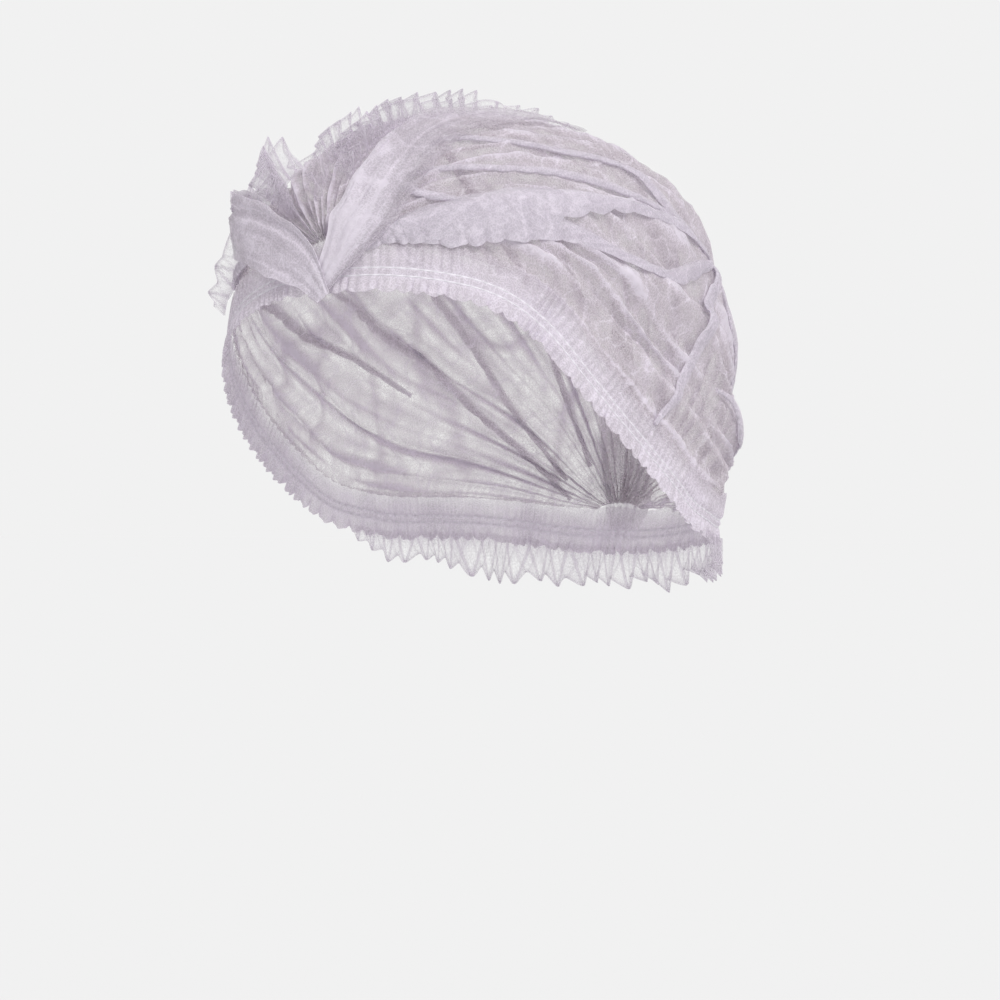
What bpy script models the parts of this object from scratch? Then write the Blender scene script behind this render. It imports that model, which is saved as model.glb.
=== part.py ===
"""Disposable clip cap: one strip of nonwoven, pleated lengthwise, gathered at its two ends and
edged with elastic, opened over the head that it is worn on.

Metres, +Z up, the front gather towards -Y and the wearer's left towards +X. The origin is the
inner top of the crown, where the cap bears on a head.

A place on the cap is given by two angles, in degrees. The first, along, runs with the pleats
from the front gather, at 0, to the nape gather, at 180. The second, across, runs over the
pleats from the top of the head, at 0, down to the rim, positive on the wearer's left.
"""

import math
from collections import namedtuple

import bmesh
import bpy
import numpy as np

# The form inside the cap.
HEAD_WIDTH = 0.152
HEAD_LENGTH = 0.194
DOME_HEIGHT = 0.107
UNDER_HEIGHT = 0.084
PLAN_FULLNESS = 2.15
DOME_FULLNESS = 2.6

# The two gathers, where the pleats end.
GATHER_DROP = 0.062
GATHER_OFFSET = 0.007

# The sheet and its folds. The spread is a ridge's half width.
SHEET_WALL = 0.0012
FOLD_HEIGHT = 0.0056
FOLD_SPREAD = 0.0062
CLEARANCE = 0.0004

# The elastic hem.
HEM_HEIGHT = 0.0155
HEM_WALL = 0.0021
EDGE_FRILL = 0.0048
GATHERS = 52
RIPPLE = 0.30
SCALLOP = 0.22

# The unopened pleats at the front and at the nape.
PLEAT_BAND = 0.019
PLEAT_DEPTH = 0.0018
PLEAT_WALL = 0.0014
STAND_OFF = 0.018

# The frills and ruffles that stand on edge.
FRILL_HEIGHT = 0.013
FRILL_DEPTH = 0.0015
FRILL_PITCH = 0.0074
FRILL_WALL = 0.0011
FRILL_SHARES = (0.0, 0.5, 1.0)
RAGGED = 0.09

# The ragged ruffle at the nape.
NAPE_DROP = 0.014
NAPE_LAP = 0.0022
NAPE_FLARE = 0.005
NAPE_START = 118
NAPE_END_SHARE = 0.35

# Where the crown stops short of the gathers, in degrees, and how finely the sheets are drawn.
CROWN_INSET = 1.5
CROWN_ROWS = 30
CROWN_COLUMNS = 54
PLEAT_ROWS = 15
PLEAT_COLUMNS = 9

# The rim's place, from the front gather to the nape gather.
RimStation = namedtuple("RimStation", "along left right")
RIM = (
    RimStation(0, 84, 88),
    RimStation(19, 84, 94),
    RimStation(32, 84, 95),
    RimStation(42, 89, 98),
    RimStation(54, 96.5, 100),
    RimStation(68, 101, 102),
    RimStation(84, 104, 104),
    RimStation(109, 107, 107),
    RimStation(130, 103, 103),
    RimStation(154, 92, 92),
    RimStation(180, 89, 89),
)

# The hem's section, from its inner lower edge outwards and up: shares of the hem's height and
# wall, and how much of the gathers' ripple each corner takes.
HemCorner = namedtuple("HemCorner", "height wall ripple")
HEM_SECTION = (
    HemCorner(0.00, 0.20, 0.2),
    HemCorner(0.00, 0.80, 0.5),
    HemCorner(0.33, 0.50, 0.1),
    HemCorner(0.46, 0.95, 0.6),
    HemCorner(0.78, 0.90, 0.6),
    HemCorner(1.00, 0.62, 0.2),
    HemCorner(1.00, 0.00, 0.0),
    HemCorner(0.33, 0.00, 0.0),
)

# Pleats that opened but still stand as ridges: the stretch that each runs along the cap, its
# across angle at either end, and its shares of the fold height and spread.
Fold = namedtuple("Fold", "start end across_start across_end height spread")
FOLDS = (
    Fold(26, 108, 54, 45, 1.15, 1.0),
    Fold(26, 124, 66, 60, 1.10, 1.0),
    Fold(34, 120, 41, 33, 0.60, 0.7),
    Fold(56, 156, 28, 35, 0.75, 0.8),
    Fold(92, 164, 48, 46, 0.75, 0.9),
    Fold(104, 166, 72, 58, 0.85, 1.0),
    Fold(52, 128, 82, 86, 0.40, 0.7),
    Fold(88, 166, 12, 20, 0.75, 0.9),
    Fold(80, 160, -8, 2, 0.65, 0.8),
    Fold(56, 158, -18, -22, 0.75, 0.8),
    Fold(84, 158, -38, -40, 0.80, 0.9),
    Fold(70, 164, -56, -50, 0.85, 0.9),
    Fold(46, 140, -74, -68, 1.00, 1.0),
    Fold(46, 146, -88, -88, 0.45, 0.8),
)

# A pleat band's sections, from its end at the gather: where its middle line runs, and shares of
# the stand-off, band width and pleat depth. Its roll, in degrees, lifts its left edge.
Section = namedtuple("Section", "along across lift width roll depth")
LEFT_PLEATS = (
    Section(3, 26, 0.00, 0.30, -4, 0.2),
    Section(8, 25, 0.00, 0.78, -10, 0.6),
    Section(13, 24, 0.02, 1.08, -14, 1.0),
    Section(20, 20, 0.02, 1.12, -16, 1.0),
    Section(28, 17, 0.02, 1.08, -16, 1.0),
    Section(38, 15, 0.02, 0.96, -12, 0.9),
    Section(50, 15, 0.02, 0.78, -8, 0.7),
    Section(64, 15, 0.01, 0.56, -4, 0.5),
    Section(78, 14, 0.00, 0.34, 0, 0.3),
)
RIGHT_PLEATS = (
    Section(3, -42, 0.00, 0.30, 4, 0.2),
    Section(8, -47, 0.02, 0.82, 12, 0.6),
    Section(13, -53, 0.10, 1.10, 24, 1.0),
    Section(20, -58, 0.24, 1.18, 34, 1.0),
    Section(28, -58, 0.28, 1.12, 38, 1.0),
    Section(38, -54, 0.16, 0.98, 30, 0.9),
    Section(50, -49, 0.06, 0.76, 16, 0.7),
    Section(62, -46, 0.01, 0.54, 6, 0.5),
    Section(74, -44, 0.00, 0.34, 0, 0.3),
)
NAPE_PLEATS = (
    Section(176, 4, 0.00, 0.36, 0, 0.2),
    Section(171, 3, 0.02, 0.90, 0, 0.6),
    Section(163, 1, 0.03, 1.10, 0, 1.0),
    Section(153, -1, 0.03, 1.05, 0, 1.0),
    Section(141, -2, 0.02, 0.80, 0, 0.7),
    Section(128, -2, 0.00, 0.50, 0, 0.3),
)

# A standing frill's stations: where its foot runs, its share of the frill height, and its lean,
# in degrees towards the wearer's left.
Station = namedtuple("Station", "along across height lean")
LEFT_FRILL = (
    Station(22, -3, 0.50, 0),
    Station(28, -2, 0.68, 0),
    Station(36, 0, 0.86, -6),
    Station(45, 3, 0.80, -6),
    Station(56, 6, 0.54, -2),
    Station(68, 8, 0.34, 0),
    Station(82, 9, 0.20, 0),
)
RIGHT_FRILL = (
    Station(19, -35, 0.80, 0),
    Station(25, -38, 1.25, 0),
    Station(33, -38, 1.30, 0),
    Station(44, -37, 0.95, 0),
    Station(58, -36, 0.60, 0),
    Station(74, -36, 0.28, 0),
)
MIDDLE_RUFFLE = (
    Station(19, -18, 0.45, 0),
    Station(26, -16, 0.78, 0),
    Station(34, -14, 0.84, 0),
    Station(46, -11, 0.30, 0),
)

FABRIC = (0.80, 0.79, 0.84, 1.0)
DENSE_FABRIC = (0.88, 0.88, 0.93, 1.0)
ROUGHNESS = 0.85

CENTRE = np.array((0.0, 0.0, -DOME_HEIGHT))
GATHER = np.array((GATHER_OFFSET, -HEAD_LENGTH / 2, DOME_HEIGHT - GATHER_DROP))
FRONT = GATHER / np.linalg.norm(GATHER)
SIDEWAYS = np.cross((0.0, 0.0, 1.0), FRONT)
LEFT = SIDEWAYS / np.linalg.norm(SIDEWAYS)
TOP = np.cross(FRONT, LEFT)


def clear_scene():
    for old in list(bpy.data.objects):
        bpy.data.objects.remove(old, do_unlink=True)


def unit(vectors):
    return vectors / np.linalg.norm(vectors, axis=-1, keepdims=True)


def direction_of(along, across):
    """Unit directions from the form's centre, for places given in degrees."""
    along, across = np.broadcast_arrays(np.radians(along), np.radians(across))
    sideways = np.cos(across)[..., None] * TOP + np.sin(across)[..., None] * LEFT
    return np.cos(along)[..., None] * FRONT + np.sin(along)[..., None] * sideways


def place_of(direction):
    """The along and across angles of unit directions."""
    along = np.degrees(np.arccos(np.clip(direction @ FRONT, -1, 1)))
    return along, np.degrees(np.arctan2(direction @ LEFT, direction @ TOP))


def form_radius(direction):
    """Distance from the form's centre to its surface along unit directions."""
    x, y, z = np.moveaxis(np.abs(direction), -1, 0)
    height = np.where(direction[..., 2] >= 0, DOME_HEIGHT, UNDER_HEIGHT)
    plan = (2 * x / HEAD_WIDTH) ** PLAN_FULLNESS + (2 * y / HEAD_LENGTH) ** PLAN_FULLNESS
    total = plan ** (DOME_FULLNESS / PLAN_FULLNESS) + (z / height) ** DOME_FULLNESS
    return total ** (-1 / DOME_FULLNESS)


def form_point(along, across, lift=0.0):
    direction = direction_of(along, across)
    return CENTRE + direction * (form_radius(direction) + lift)[..., None]


def on_form(points, lift=0.0):
    """Points moved straight out or in from the centre until they lie on the form."""
    direction = unit(points - CENTRE)
    return CENTRE + direction * (form_radius(direction) + lift)[..., None]


def eased(rows, count):
    """A table's rows read at evenly spaced steps from a smooth curve through them."""
    table = np.array(rows, float)
    padded = np.vstack((2 * table[0] - table[1], table, 2 * table[-1] - table[-2]))
    step = np.linspace(0, len(table) - 1, count)
    index = np.minimum(step.astype(int), len(table) - 2)
    t = (step - index)[:, None]
    before, start, end, after = (padded[index + offset] for offset in range(4))
    bend = (2 * before - 5 * start + 4 * end - after) * t**2
    turn = (3 * start - before - 3 * end + after) * t**3
    return start + 0.5 * ((end - before) * t + bend + turn)


def rim_loop(count):
    """The rim's points on the form, evenly spaced, from the front round by the wearer's left."""
    rim = np.array(RIM, float)
    along = np.linspace(0, 180, 361)
    left = form_point(along, np.interp(along, rim[:, 0], rim[:, 1]))
    right = form_point(along, -np.interp(along, rim[:, 0], rim[:, 2]))
    path = np.vstack((left, right[-2::-1]))
    travelled = np.append(0, np.cumsum(np.linalg.norm(np.diff(path, axis=0), axis=1)))
    wanted = np.linspace(0, travelled[-1], count, endpoint=False)
    return np.stack([np.interp(wanted, travelled, path[:, axis]) for axis in range(3)], axis=1)


def loop_ups(points):
    """At each point of the rim, the direction in the cap's surface away from the rim."""
    tangent = unit(np.roll(points, -1, axis=0) - np.roll(points, 1, axis=0))
    return unit(np.cross(unit(points - CENTRE), tangent))


def hem_line(height):
    """The line at one height above the rim, as along and across angles."""
    loop = rim_loop(2 * GATHERS)
    return place_of(unit(on_form(loop + height * loop_ups(loop)) - CENTRE))


def crown_edges(along):
    """The across angles at which the crown stops, left and right, just clear of the hem."""
    line_along, line_across = hem_line(HEM_HEIGHT + CLEARANCE)
    edges = []
    for side in (1, -1):
        own = line_across * side > 0
        order = np.argsort(line_along[own])
        edges.append(np.interp(along, line_along[own][order], line_across[own][order]))
    return edges


def fold_relief(along, across):
    """How far the pleats that still stand lift the sheet off the form."""
    around = np.maximum(np.sin(np.radians(along)), 0.2) * HEAD_WIDTH / 2
    relief = np.zeros(np.shape(along))
    for fold in FOLDS:
        share = np.clip((along - fold.start) / (fold.end - fold.start), 0, 1)
        middle = fold.across_start + share * (fold.across_end - fold.across_start)
        distance = np.radians(across - middle) * around / (FOLD_SPREAD * fold.spread)
        relief += FOLD_HEIGHT * fold.height * np.sin(np.pi * share) * np.exp(-distance**2)
    return relief


def crown_span():
    """The first and last along angles that the crown reaches above the gathers."""
    along, across = hem_line(HEM_HEIGHT + CLEARANCE)
    return along.min() + CROWN_INSET, along.max() - CROWN_INSET


def cover(direction):
    """The height over the form of what is already there: the hem, or the crown's outer side."""
    along, across = place_of(direction)
    left, right = crown_edges(along)
    first, last = crown_span()
    on_hem = (across > left) | (across < right) | (along < first) | (along > last)
    return np.where(on_hem, HEM_WALL * (1 + RIPPLE / 2), fold_relief(along, across) + SHEET_WALL)


def add_object(name, mesh, dense):
    """A new object of one closed body, with its faces outwards and its own fabric."""
    bmesh.ops.recalc_face_normals(mesh, faces=mesh.faces)
    data = bpy.data.meshes.new(name)
    mesh.to_mesh(data)
    mesh.free()
    data.shade_smooth()
    data.set_sharp_from_angle(angle=math.radians(50))
    material = bpy.data.materials.new(name)
    material.use_nodes = True
    shader = material.node_tree.nodes["Principled BSDF"]
    shader.inputs["Base Color"].default_value = DENSE_FABRIC if dense else FABRIC
    shader.inputs["Roughness"].default_value = ROUGHNESS
    shader.inputs["Metallic"].default_value = 0.0
    data.materials.append(material)
    piece = bpy.data.objects.new(name, data)
    bpy.context.collection.objects.link(piece)
    return piece


def add_wall(name, under, over, dense=False):
    """A closed wall between two grids of points that face each other."""
    mesh = bmesh.new()
    low, high = ([[mesh.verts.new(point) for point in row] for row in grid] for grid in (under, over))
    rows, columns = len(low), len(low[0])
    for i in range(rows - 1):
        for j in range(columns - 1):
            mesh.faces.new((high[i][j], high[i + 1][j], high[i + 1][j + 1], high[i][j + 1]))
            mesh.faces.new((low[i][j], low[i][j + 1], low[i + 1][j + 1], low[i + 1][j]))
    for i in range(rows - 1):
        for j in (0, columns - 1):
            mesh.faces.new((low[i][j], low[i + 1][j], high[i + 1][j], high[i][j]))
    for j in range(columns - 1):
        for i in (0, rows - 1):
            mesh.faces.new((low[i][j], low[i][j + 1], high[i][j + 1], high[i][j]))
    return add_object(name, mesh, dense)


def add_ring(name, rings, dense=False):
    """A closed ring through sections that each hold the same corners."""
    mesh = bmesh.new()
    corners = [[mesh.verts.new(point) for point in ring] for ring in rings]
    for i, ring in enumerate(corners):
        following = corners[(i + 1) % len(corners)]
        for j in range(len(ring)):
            k = (j + 1) % len(ring)
            mesh.faces.new((ring[j], following[j], following[k], ring[k]))
    return add_object(name, mesh, dense)


def thickened(grid, wall):
    """The two faces of a sheet, half its wall to either side of its middle surface."""
    normal = unit(np.cross(np.gradient(grid, axis=0), np.gradient(grid, axis=1)))
    return grid - normal * wall / 2, grid + normal * wall / 2


def frame_along(path):
    """At each point of a path over the form: the way on, the way out and the way to its left."""
    onward = unit(np.gradient(path, axis=0))
    outward = unit(path - CENTRE)
    return onward, outward, unit(np.cross(onward, outward))


def seated(grid, rows, outward, lift, wall):
    """A strip moved out, row by row, until its seating rows clear the cap by their lift."""
    seat = grid[:, rows]
    distance = np.linalg.norm(seat - CENTRE, axis=-1)
    direction = unit(seat - CENTRE)
    short = (form_radius(direction) + cover(direction) - distance).max(axis=1)
    smooth = np.convolve(np.pad(short, 1, mode="edge"), (0.25, 0.5, 0.25), mode="valid")
    rise = np.maximum(short, smooth) + CLEARANCE + wall / 2 + lift
    return grid + (rise[:, None] * outward)[:, None, :]


def build_crown():
    first, last = crown_span()
    share = (1 - np.cos(np.linspace(0, np.pi, CROWN_ROWS))) / 2
    even = np.linspace(0, 1, CROWN_ROWS)
    along = first + (last - first) * (0.5 * share + 0.5 * even)
    left, right = crown_edges(along)
    across = right[:, None] + (left - right)[:, None] * np.linspace(0, 1, CROWN_COLUMNS)
    along = np.repeat(along[:, None], CROWN_COLUMNS, axis=1)
    relief = fold_relief(along, across)
    inner = form_point(along, across, relief)
    outer = form_point(along, across, relief + SHEET_WALL)
    return add_wall("crown", inner, outer)


def build_hem():
    loop = rim_loop(2 * GATHERS)
    ups = loop_ups(loop)
    turn = np.where(np.arange(len(loop)) % 2 == 0, 1.0, -1.0)
    rings = []
    for corner in HEM_SECTION:
        scallop = SCALLOP * EDGE_FRILL * turn if corner.height == 0 else 0.0
        height = corner.height * HEM_HEIGHT + scallop
        lift = corner.wall * HEM_WALL * (1 + RIPPLE * corner.ripple * turn)
        rings.append(on_form(loop + ups * np.reshape(height, (-1, 1)), lift))
    return add_ring("elastic_hem", np.stack(rings, axis=1), dense=True)


def build_pleats(name, sections):
    """A band of unopened pleats, folded to and fro across its width."""
    along, across, lift, width, roll, depth = eased(sections, PLEAT_ROWS).T
    path = form_point(along, across)
    onward, outward, leftward = frame_along(path)
    tilt = np.radians(roll)[:, None]
    sideways = leftward * np.cos(tilt) + outward * np.sin(tilt)
    over = np.cross(sideways, onward)
    share = np.linspace(-0.5, 0.5, PLEAT_COLUMNS)
    zigzag = np.where(np.arange(PLEAT_COLUMNS) % 2 == 0, -0.5, 0.5)
    reach = share[None, :] * (width * PLEAT_BAND)[:, None]
    rise = zigzag[None, :] * (depth * PLEAT_DEPTH)[:, None]
    grid = path[:, None] + reach[..., None] * sideways[:, None] + rise[..., None] * over[:, None]
    grid = seated(grid, slice(None), outward, lift * STAND_OFF, PLEAT_WALL)
    return add_wall(name, *thickened(grid, PLEAT_WALL), dense=True)


def build_frill(name, stations):
    """A frill that stands on edge, folded to and fro along its length."""
    along, across = eased(stations, 60).T[:2]
    length = np.linalg.norm(np.diff(form_point(along, across), axis=0), axis=1).sum()
    count = 2 * round(length / FRILL_PITCH) + 1
    along, across, height, lean = eased(stations, count).T
    path = form_point(along, across)
    _, outward, leftward = frame_along(path)
    tilt = np.radians(lean)[:, None]
    upward = outward * np.cos(tilt) + leftward * np.sin(tilt)
    zigzag = np.where(np.arange(count) % 2 == 0, -1.0, 1.0)
    columns = []
    for share in FRILL_SHARES:
        ragged = 1 + RAGGED * zigzag * share
        rise = (share * ragged * height * FRILL_HEIGHT)[:, None] * upward
        fold = (zigzag * FRILL_DEPTH * (0.5 + 0.5 * share))[:, None] * leftward
        columns.append(path + rise + fold)
    grid = seated(np.stack(columns, axis=1), slice(0, 1), outward, 0.0, FRILL_WALL)
    return add_wall(name, *thickened(grid, FRILL_WALL))


def build_nape_ruffle():
    """The ragged ruffle that hangs from the hem's lower edge, folded to and fro round the nape."""
    dense = rim_loop(8 * GATHERS)
    length = np.linalg.norm(np.roll(dense, -1, axis=0) - dense, axis=1).sum()
    loop = rim_loop(2 * round(length / FRILL_PITCH))
    ups = loop_ups(loop)
    along, _ = place_of(unit(loop - CENTRE))
    kept = along > NAPE_START
    loop, ups, along = loop[kept], ups[kept], along[kept]
    outward = unit(loop - CENTRE)
    fullness = np.sin(np.radians(90 * (along - NAPE_START) / (180 - NAPE_START))) ** 0.4
    zigzag = np.where(np.arange(len(loop)) % 2 == 0, -1.0, 1.0)
    edge = HEM_SECTION[1]
    seam = HEM_WALL * edge.wall * (1 + RIPPLE * edge.ripple) + CLEARANCE + FRILL_WALL / 2
    columns = []
    for share in FRILL_SHARES:
        depth = NAPE_END_SHARE + (1 - NAPE_END_SHARE) * fullness
        hang = (NAPE_DROP + NAPE_LAP) * depth * (1 + RAGGED * zigzag * share)
        drop = share * hang - NAPE_LAP
        fold = seam + share * (NAPE_FLARE + zigzag * FRILL_DEPTH)
        columns.append(loop - drop[:, None] * ups + fold[:, None] * outward)
    return add_wall("nape_ruffle", *thickened(np.stack(columns, axis=1), FRILL_WALL))


def main():
    clear_scene()
    cap = bpy.data.objects.new("disposable_cap", None)
    bpy.context.collection.objects.link(cap)
    pieces = [
        build_crown(),
        build_hem(),
        build_pleats("front_pleats_left", LEFT_PLEATS),
        build_pleats("front_pleats_right", RIGHT_PLEATS),
        build_pleats("nape_pleats", NAPE_PLEATS),
        build_frill("front_frill_left", LEFT_FRILL),
        build_frill("front_frill_right", RIGHT_FRILL),
        build_frill("front_ruffle", MIDDLE_RUFFLE),
        build_nape_ruffle(),
    ]
    for piece in pieces:
        piece.parent = cap


main()
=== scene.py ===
"""Looks of the disposable cap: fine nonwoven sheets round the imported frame, in metres, +Z up.

A place on the cap is given by two angles, in degrees. The first, along, runs with the pleats
from the front gather, at 0, to the nape gather, at 180. The second, across, runs over the
pleats from the top of the head, at 0, down to the rim, positive on the wearer's left.
"""

import logging
import math
from dataclasses import dataclass
from enum import Enum
from functools import cached_property
from typing import Any, NamedTuple

import bpy
import numpy as np
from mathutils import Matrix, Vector, noise


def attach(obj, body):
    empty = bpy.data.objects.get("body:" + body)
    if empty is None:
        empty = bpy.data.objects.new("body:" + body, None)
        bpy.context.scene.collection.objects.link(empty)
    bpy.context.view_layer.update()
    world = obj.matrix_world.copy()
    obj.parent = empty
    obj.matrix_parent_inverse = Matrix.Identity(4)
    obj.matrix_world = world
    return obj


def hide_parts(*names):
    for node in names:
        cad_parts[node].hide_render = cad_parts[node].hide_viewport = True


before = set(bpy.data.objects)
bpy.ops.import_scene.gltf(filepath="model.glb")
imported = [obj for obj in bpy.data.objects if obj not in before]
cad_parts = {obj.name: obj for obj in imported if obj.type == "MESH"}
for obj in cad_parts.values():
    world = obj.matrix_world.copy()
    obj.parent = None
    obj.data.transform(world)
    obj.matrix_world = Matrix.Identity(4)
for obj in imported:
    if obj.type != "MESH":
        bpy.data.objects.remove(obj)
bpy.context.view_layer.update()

LOG = logging.getLogger("cap")
# The attribute that holds how white each point is: its creases, with painted highlight and painted shade
# on some folds and wrinkles.
CREASE_AND_PAINTED_LIGHT = "crease_and_painted_light"
# Keeps the noise along a line off its lattice, where noise is always zero.
NOISE_OFFSET = 0.37
# Edges that bend more than this many degrees are shaded sharp.
SHARP_ANGLE = 75
# From the seed of one laid pleat to the next.
PLEAT_SEED_STEP = 7.3
# A zigzag whitens from FOLD_START / FOLD_RAMP of its height on, with painted highlight
# on its folds to one side and painted shade on those to the other.
FOLD_RAMP = 7
FOLD_START = 6.1
FOLD_WHITE = 0.60
FOLD_HIGHLIGHT = 0.25

Array = np.ndarray
Colour = tuple[float, float, float]


class Slot(Enum):
    """The record's material slots."""

    SHEET = "sheet"
    HEM = "hem"
    PLEATS = "pleats"
    FRILL = "frill"


class Held(Enum):
    """How a sheet of the cap is held."""

    GATHERED = "gathered"
    FOLDED = "folded"


def unit(vectors: Array) -> Array:
    """The vectors at length one."""
    return vectors / np.linalg.norm(vectors, axis=-1, keepdims=True)


def smooth_step(values: Array, start: float, end: float) -> Array:
    """0 before start and 1 after end, with a soft turn between them."""
    share = np.clip((np.asarray(values, float) - start) / (end - start), 0, 1)
    return share * share * (3 - 2 * share)


def folded(phase: Array, sharpness: float) -> Array:
    """A to-and-fro wave from -1 to 1, a zigzag with slightly rounded folds.

    Args:
        phase: where on the wave, in turns.
        sharpness: how near a true zigzag the wave comes, under 1.

    Returns:
        The wave's height at each phase.
    """
    peak = math.asin(sharpness)
    return np.arcsin(sharpness * np.sin(2 * np.pi * np.asarray(phase))) / peak


def blocky(phase: Array, hardness: float) -> Array:
    """A wave from -1 to 1 with flat tops and steep sides, as gathers are.

    Args:
        phase: where on the wave, in turns.
        hardness: how flat the tops are.

    Returns:
        The wave's height at each phase.
    """
    return np.tanh(hardness * np.sin(2 * np.pi * np.asarray(phase))) / math.tanh(hardness)


def ridge(values: Array, sharpness: float) -> Array:
    """1 where the values cross zero, falling to 0 on either side."""
    return np.clip(1 - np.abs(values) * sharpness, 0, 1)


def zigzag_whiteness(wave: Array) -> Array:
    """How white a zigzag's folds are, from 0 to 1: painted highlight on one side, painted shade on the
    other.
    """
    near_fold = np.clip(np.abs(wave) * FOLD_RAMP - FOLD_START, 0, 1)
    return near_fold * (FOLD_WHITE + FOLD_HIGHLIGHT * np.sign(wave))


def strides(points: Array, axis: int = 0) -> Array:
    """The distances between neighbouring points, along one axis of a path or grid."""
    return np.linalg.norm(np.diff(points, axis=axis), axis=-1)


def travelled(path: Array) -> Array:
    """How far each point of a path lies along it, in metres."""
    return np.append(0, np.cumsum(strides(path)))


def grain(points: Array, length: float, seed: float) -> Array:
    """Smooth noise from about -1 to 1 at points.

    Args:
        points: any array of points, in metres.
        length: how wide one feature of the noise is, in metres.
        seed: moves the noise, so that each use has its own.

    Returns:
        One value for each point.
    """
    flat = points.reshape(-1, 3) / length + seed
    values = np.fromiter((noise.noise(point) for point in flat.tolist()), float, len(flat))
    return values.reshape(points.shape[:-1])


def line_grain(values: Array, length: float, seed: float) -> Array:
    """Smooth noise from about -1 to 1 along one number, such as a distance."""
    points = np.stack((values, np.full_like(values, seed), np.full_like(values, -seed)), axis=-1)
    return grain(points * (1, length, length), length, NOISE_OFFSET)


def eased(rows: tuple, count: int) -> Array:
    """A table's rows read at evenly spaced steps from a smooth curve through them.

    Args:
        rows: the table, one named tuple for each station.
        count: how many steps to read.

    Returns:
        An array with a row for each step and a column for each of the table's.
    """
    table = np.array(rows, float)
    padded = np.vstack((2 * table[0] - table[1], table, 2 * table[-1] - table[-2]))
    step = np.linspace(0, len(table) - 1, count)
    index = np.minimum(step.astype(int), len(table) - 2)
    t = (step - index)[:, None]
    before, start, end, after = (padded[index + offset] for offset in range(4))
    bend = (2 * before - 5 * start + 4 * end - after) * t**2
    turn = (3 * start - before - 3 * end + after) * t**3
    return start + 0.5 * ((end - before) * t + bend + turn)


@dataclass(frozen=True)
class CapForm:
    """The smooth form inside the cap, which every sheet follows."""

    width: float = 0.152
    length: float = 0.194
    dome_height: float = 0.107
    under_height: float = 0.084
    plan_fullness: float = 2.15
    dome_fullness: float = 2.6
    gather_drop: float = 0.062
    gather_offset: float = 0.007
    least_around: float = 0.2

    @cached_property
    def centre(self) -> Array:
        """The form's centre, straight below the top of the crown."""
        return np.array((0.0, 0.0, -self.dome_height))

    @cached_property
    def axes(self) -> tuple[Array, Array, Array]:
        """Unit directions to the front gather, to the wearer's left and to the top."""
        gather = (self.gather_offset, -self.length / 2, self.dome_height - self.gather_drop)
        front = unit(np.array(gather))
        left = unit(np.cross((0.0, 0.0, 1.0), front))
        return front, left, np.cross(front, left)

    def directions(self, along: Array, across: Array) -> Array:
        """Unit directions from the centre, for places given in degrees.

        Args:
            along: angles with the pleats.
            across: angles over the pleats.

        Returns:
            One direction for each pair.
        """
        front, left, top = self.axes
        along, across = np.broadcast_arrays(np.radians(along), np.radians(across))
        sideways = np.cos(across)[..., None] * top + np.sin(across)[..., None] * left
        return np.cos(along)[..., None] * front + np.sin(along)[..., None] * sideways

    def places(self, direction: Array) -> tuple[Array, Array]:
        """The along and across angles of unit directions."""
        front, left, top = self.axes
        along = np.degrees(np.arccos(np.clip(direction @ front, -1, 1)))
        return along, np.degrees(np.arctan2(direction @ left, direction @ top))

    def radius(self, direction: Array) -> Array:
        """Distance from the centre to the form along unit directions."""
        x, y, z = np.moveaxis(np.abs(direction), -1, 0)
        height = np.where(direction[..., 2] >= 0, self.dome_height, self.under_height)
        plan = (2 * x / self.width) ** self.plan_fullness
        plan = plan + (2 * y / self.length) ** self.plan_fullness
        total = plan ** (self.dome_fullness / self.plan_fullness)
        return (total + (z / height) ** self.dome_fullness) ** (-1 / self.dome_fullness)

    def point(self, along: Array, across: Array, lift: Array | float = 0.0) -> Array:
        """Points at places on the form, raised off it.

        Args:
            along: angles with the pleats, in degrees.
            across: angles over the pleats, in degrees.
            lift: height over the form, in metres.

        Returns:
            One point for each place.
        """
        direction = self.directions(along, across)
        return self.centre + direction * (self.radius(direction) + lift)[..., None]

    def onto(self, points: Array, lift: Array | float = 0.0) -> Array:
        """Points moved straight out or in from the centre until they lie on the form."""
        direction = unit(points - self.centre)
        return self.centre + direction * (self.radius(direction) + lift)[..., None]

    def around(self, along: Array) -> Array:
        """The radius of the way round over the pleats, in metres."""
        return np.maximum(np.sin(np.radians(along)), self.least_around) * self.width / 2


class RimStation(NamedTuple):
    """Where the rim lies: its across angle on either side, in degrees."""

    along: float
    left: float
    right: float


RIM_STATIONS = (
    RimStation(0, 84, 88),
    RimStation(19, 84, 94),
    RimStation(32, 84, 95),
    RimStation(42, 89, 98),
    RimStation(54, 96.5, 100),
    RimStation(68, 101, 102),
    RimStation(84, 104, 104),
    RimStation(109, 107, 107),
    RimStation(130, 103, 103),
    RimStation(154, 92, 92),
    RimStation(180, 89, 89),
)


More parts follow.
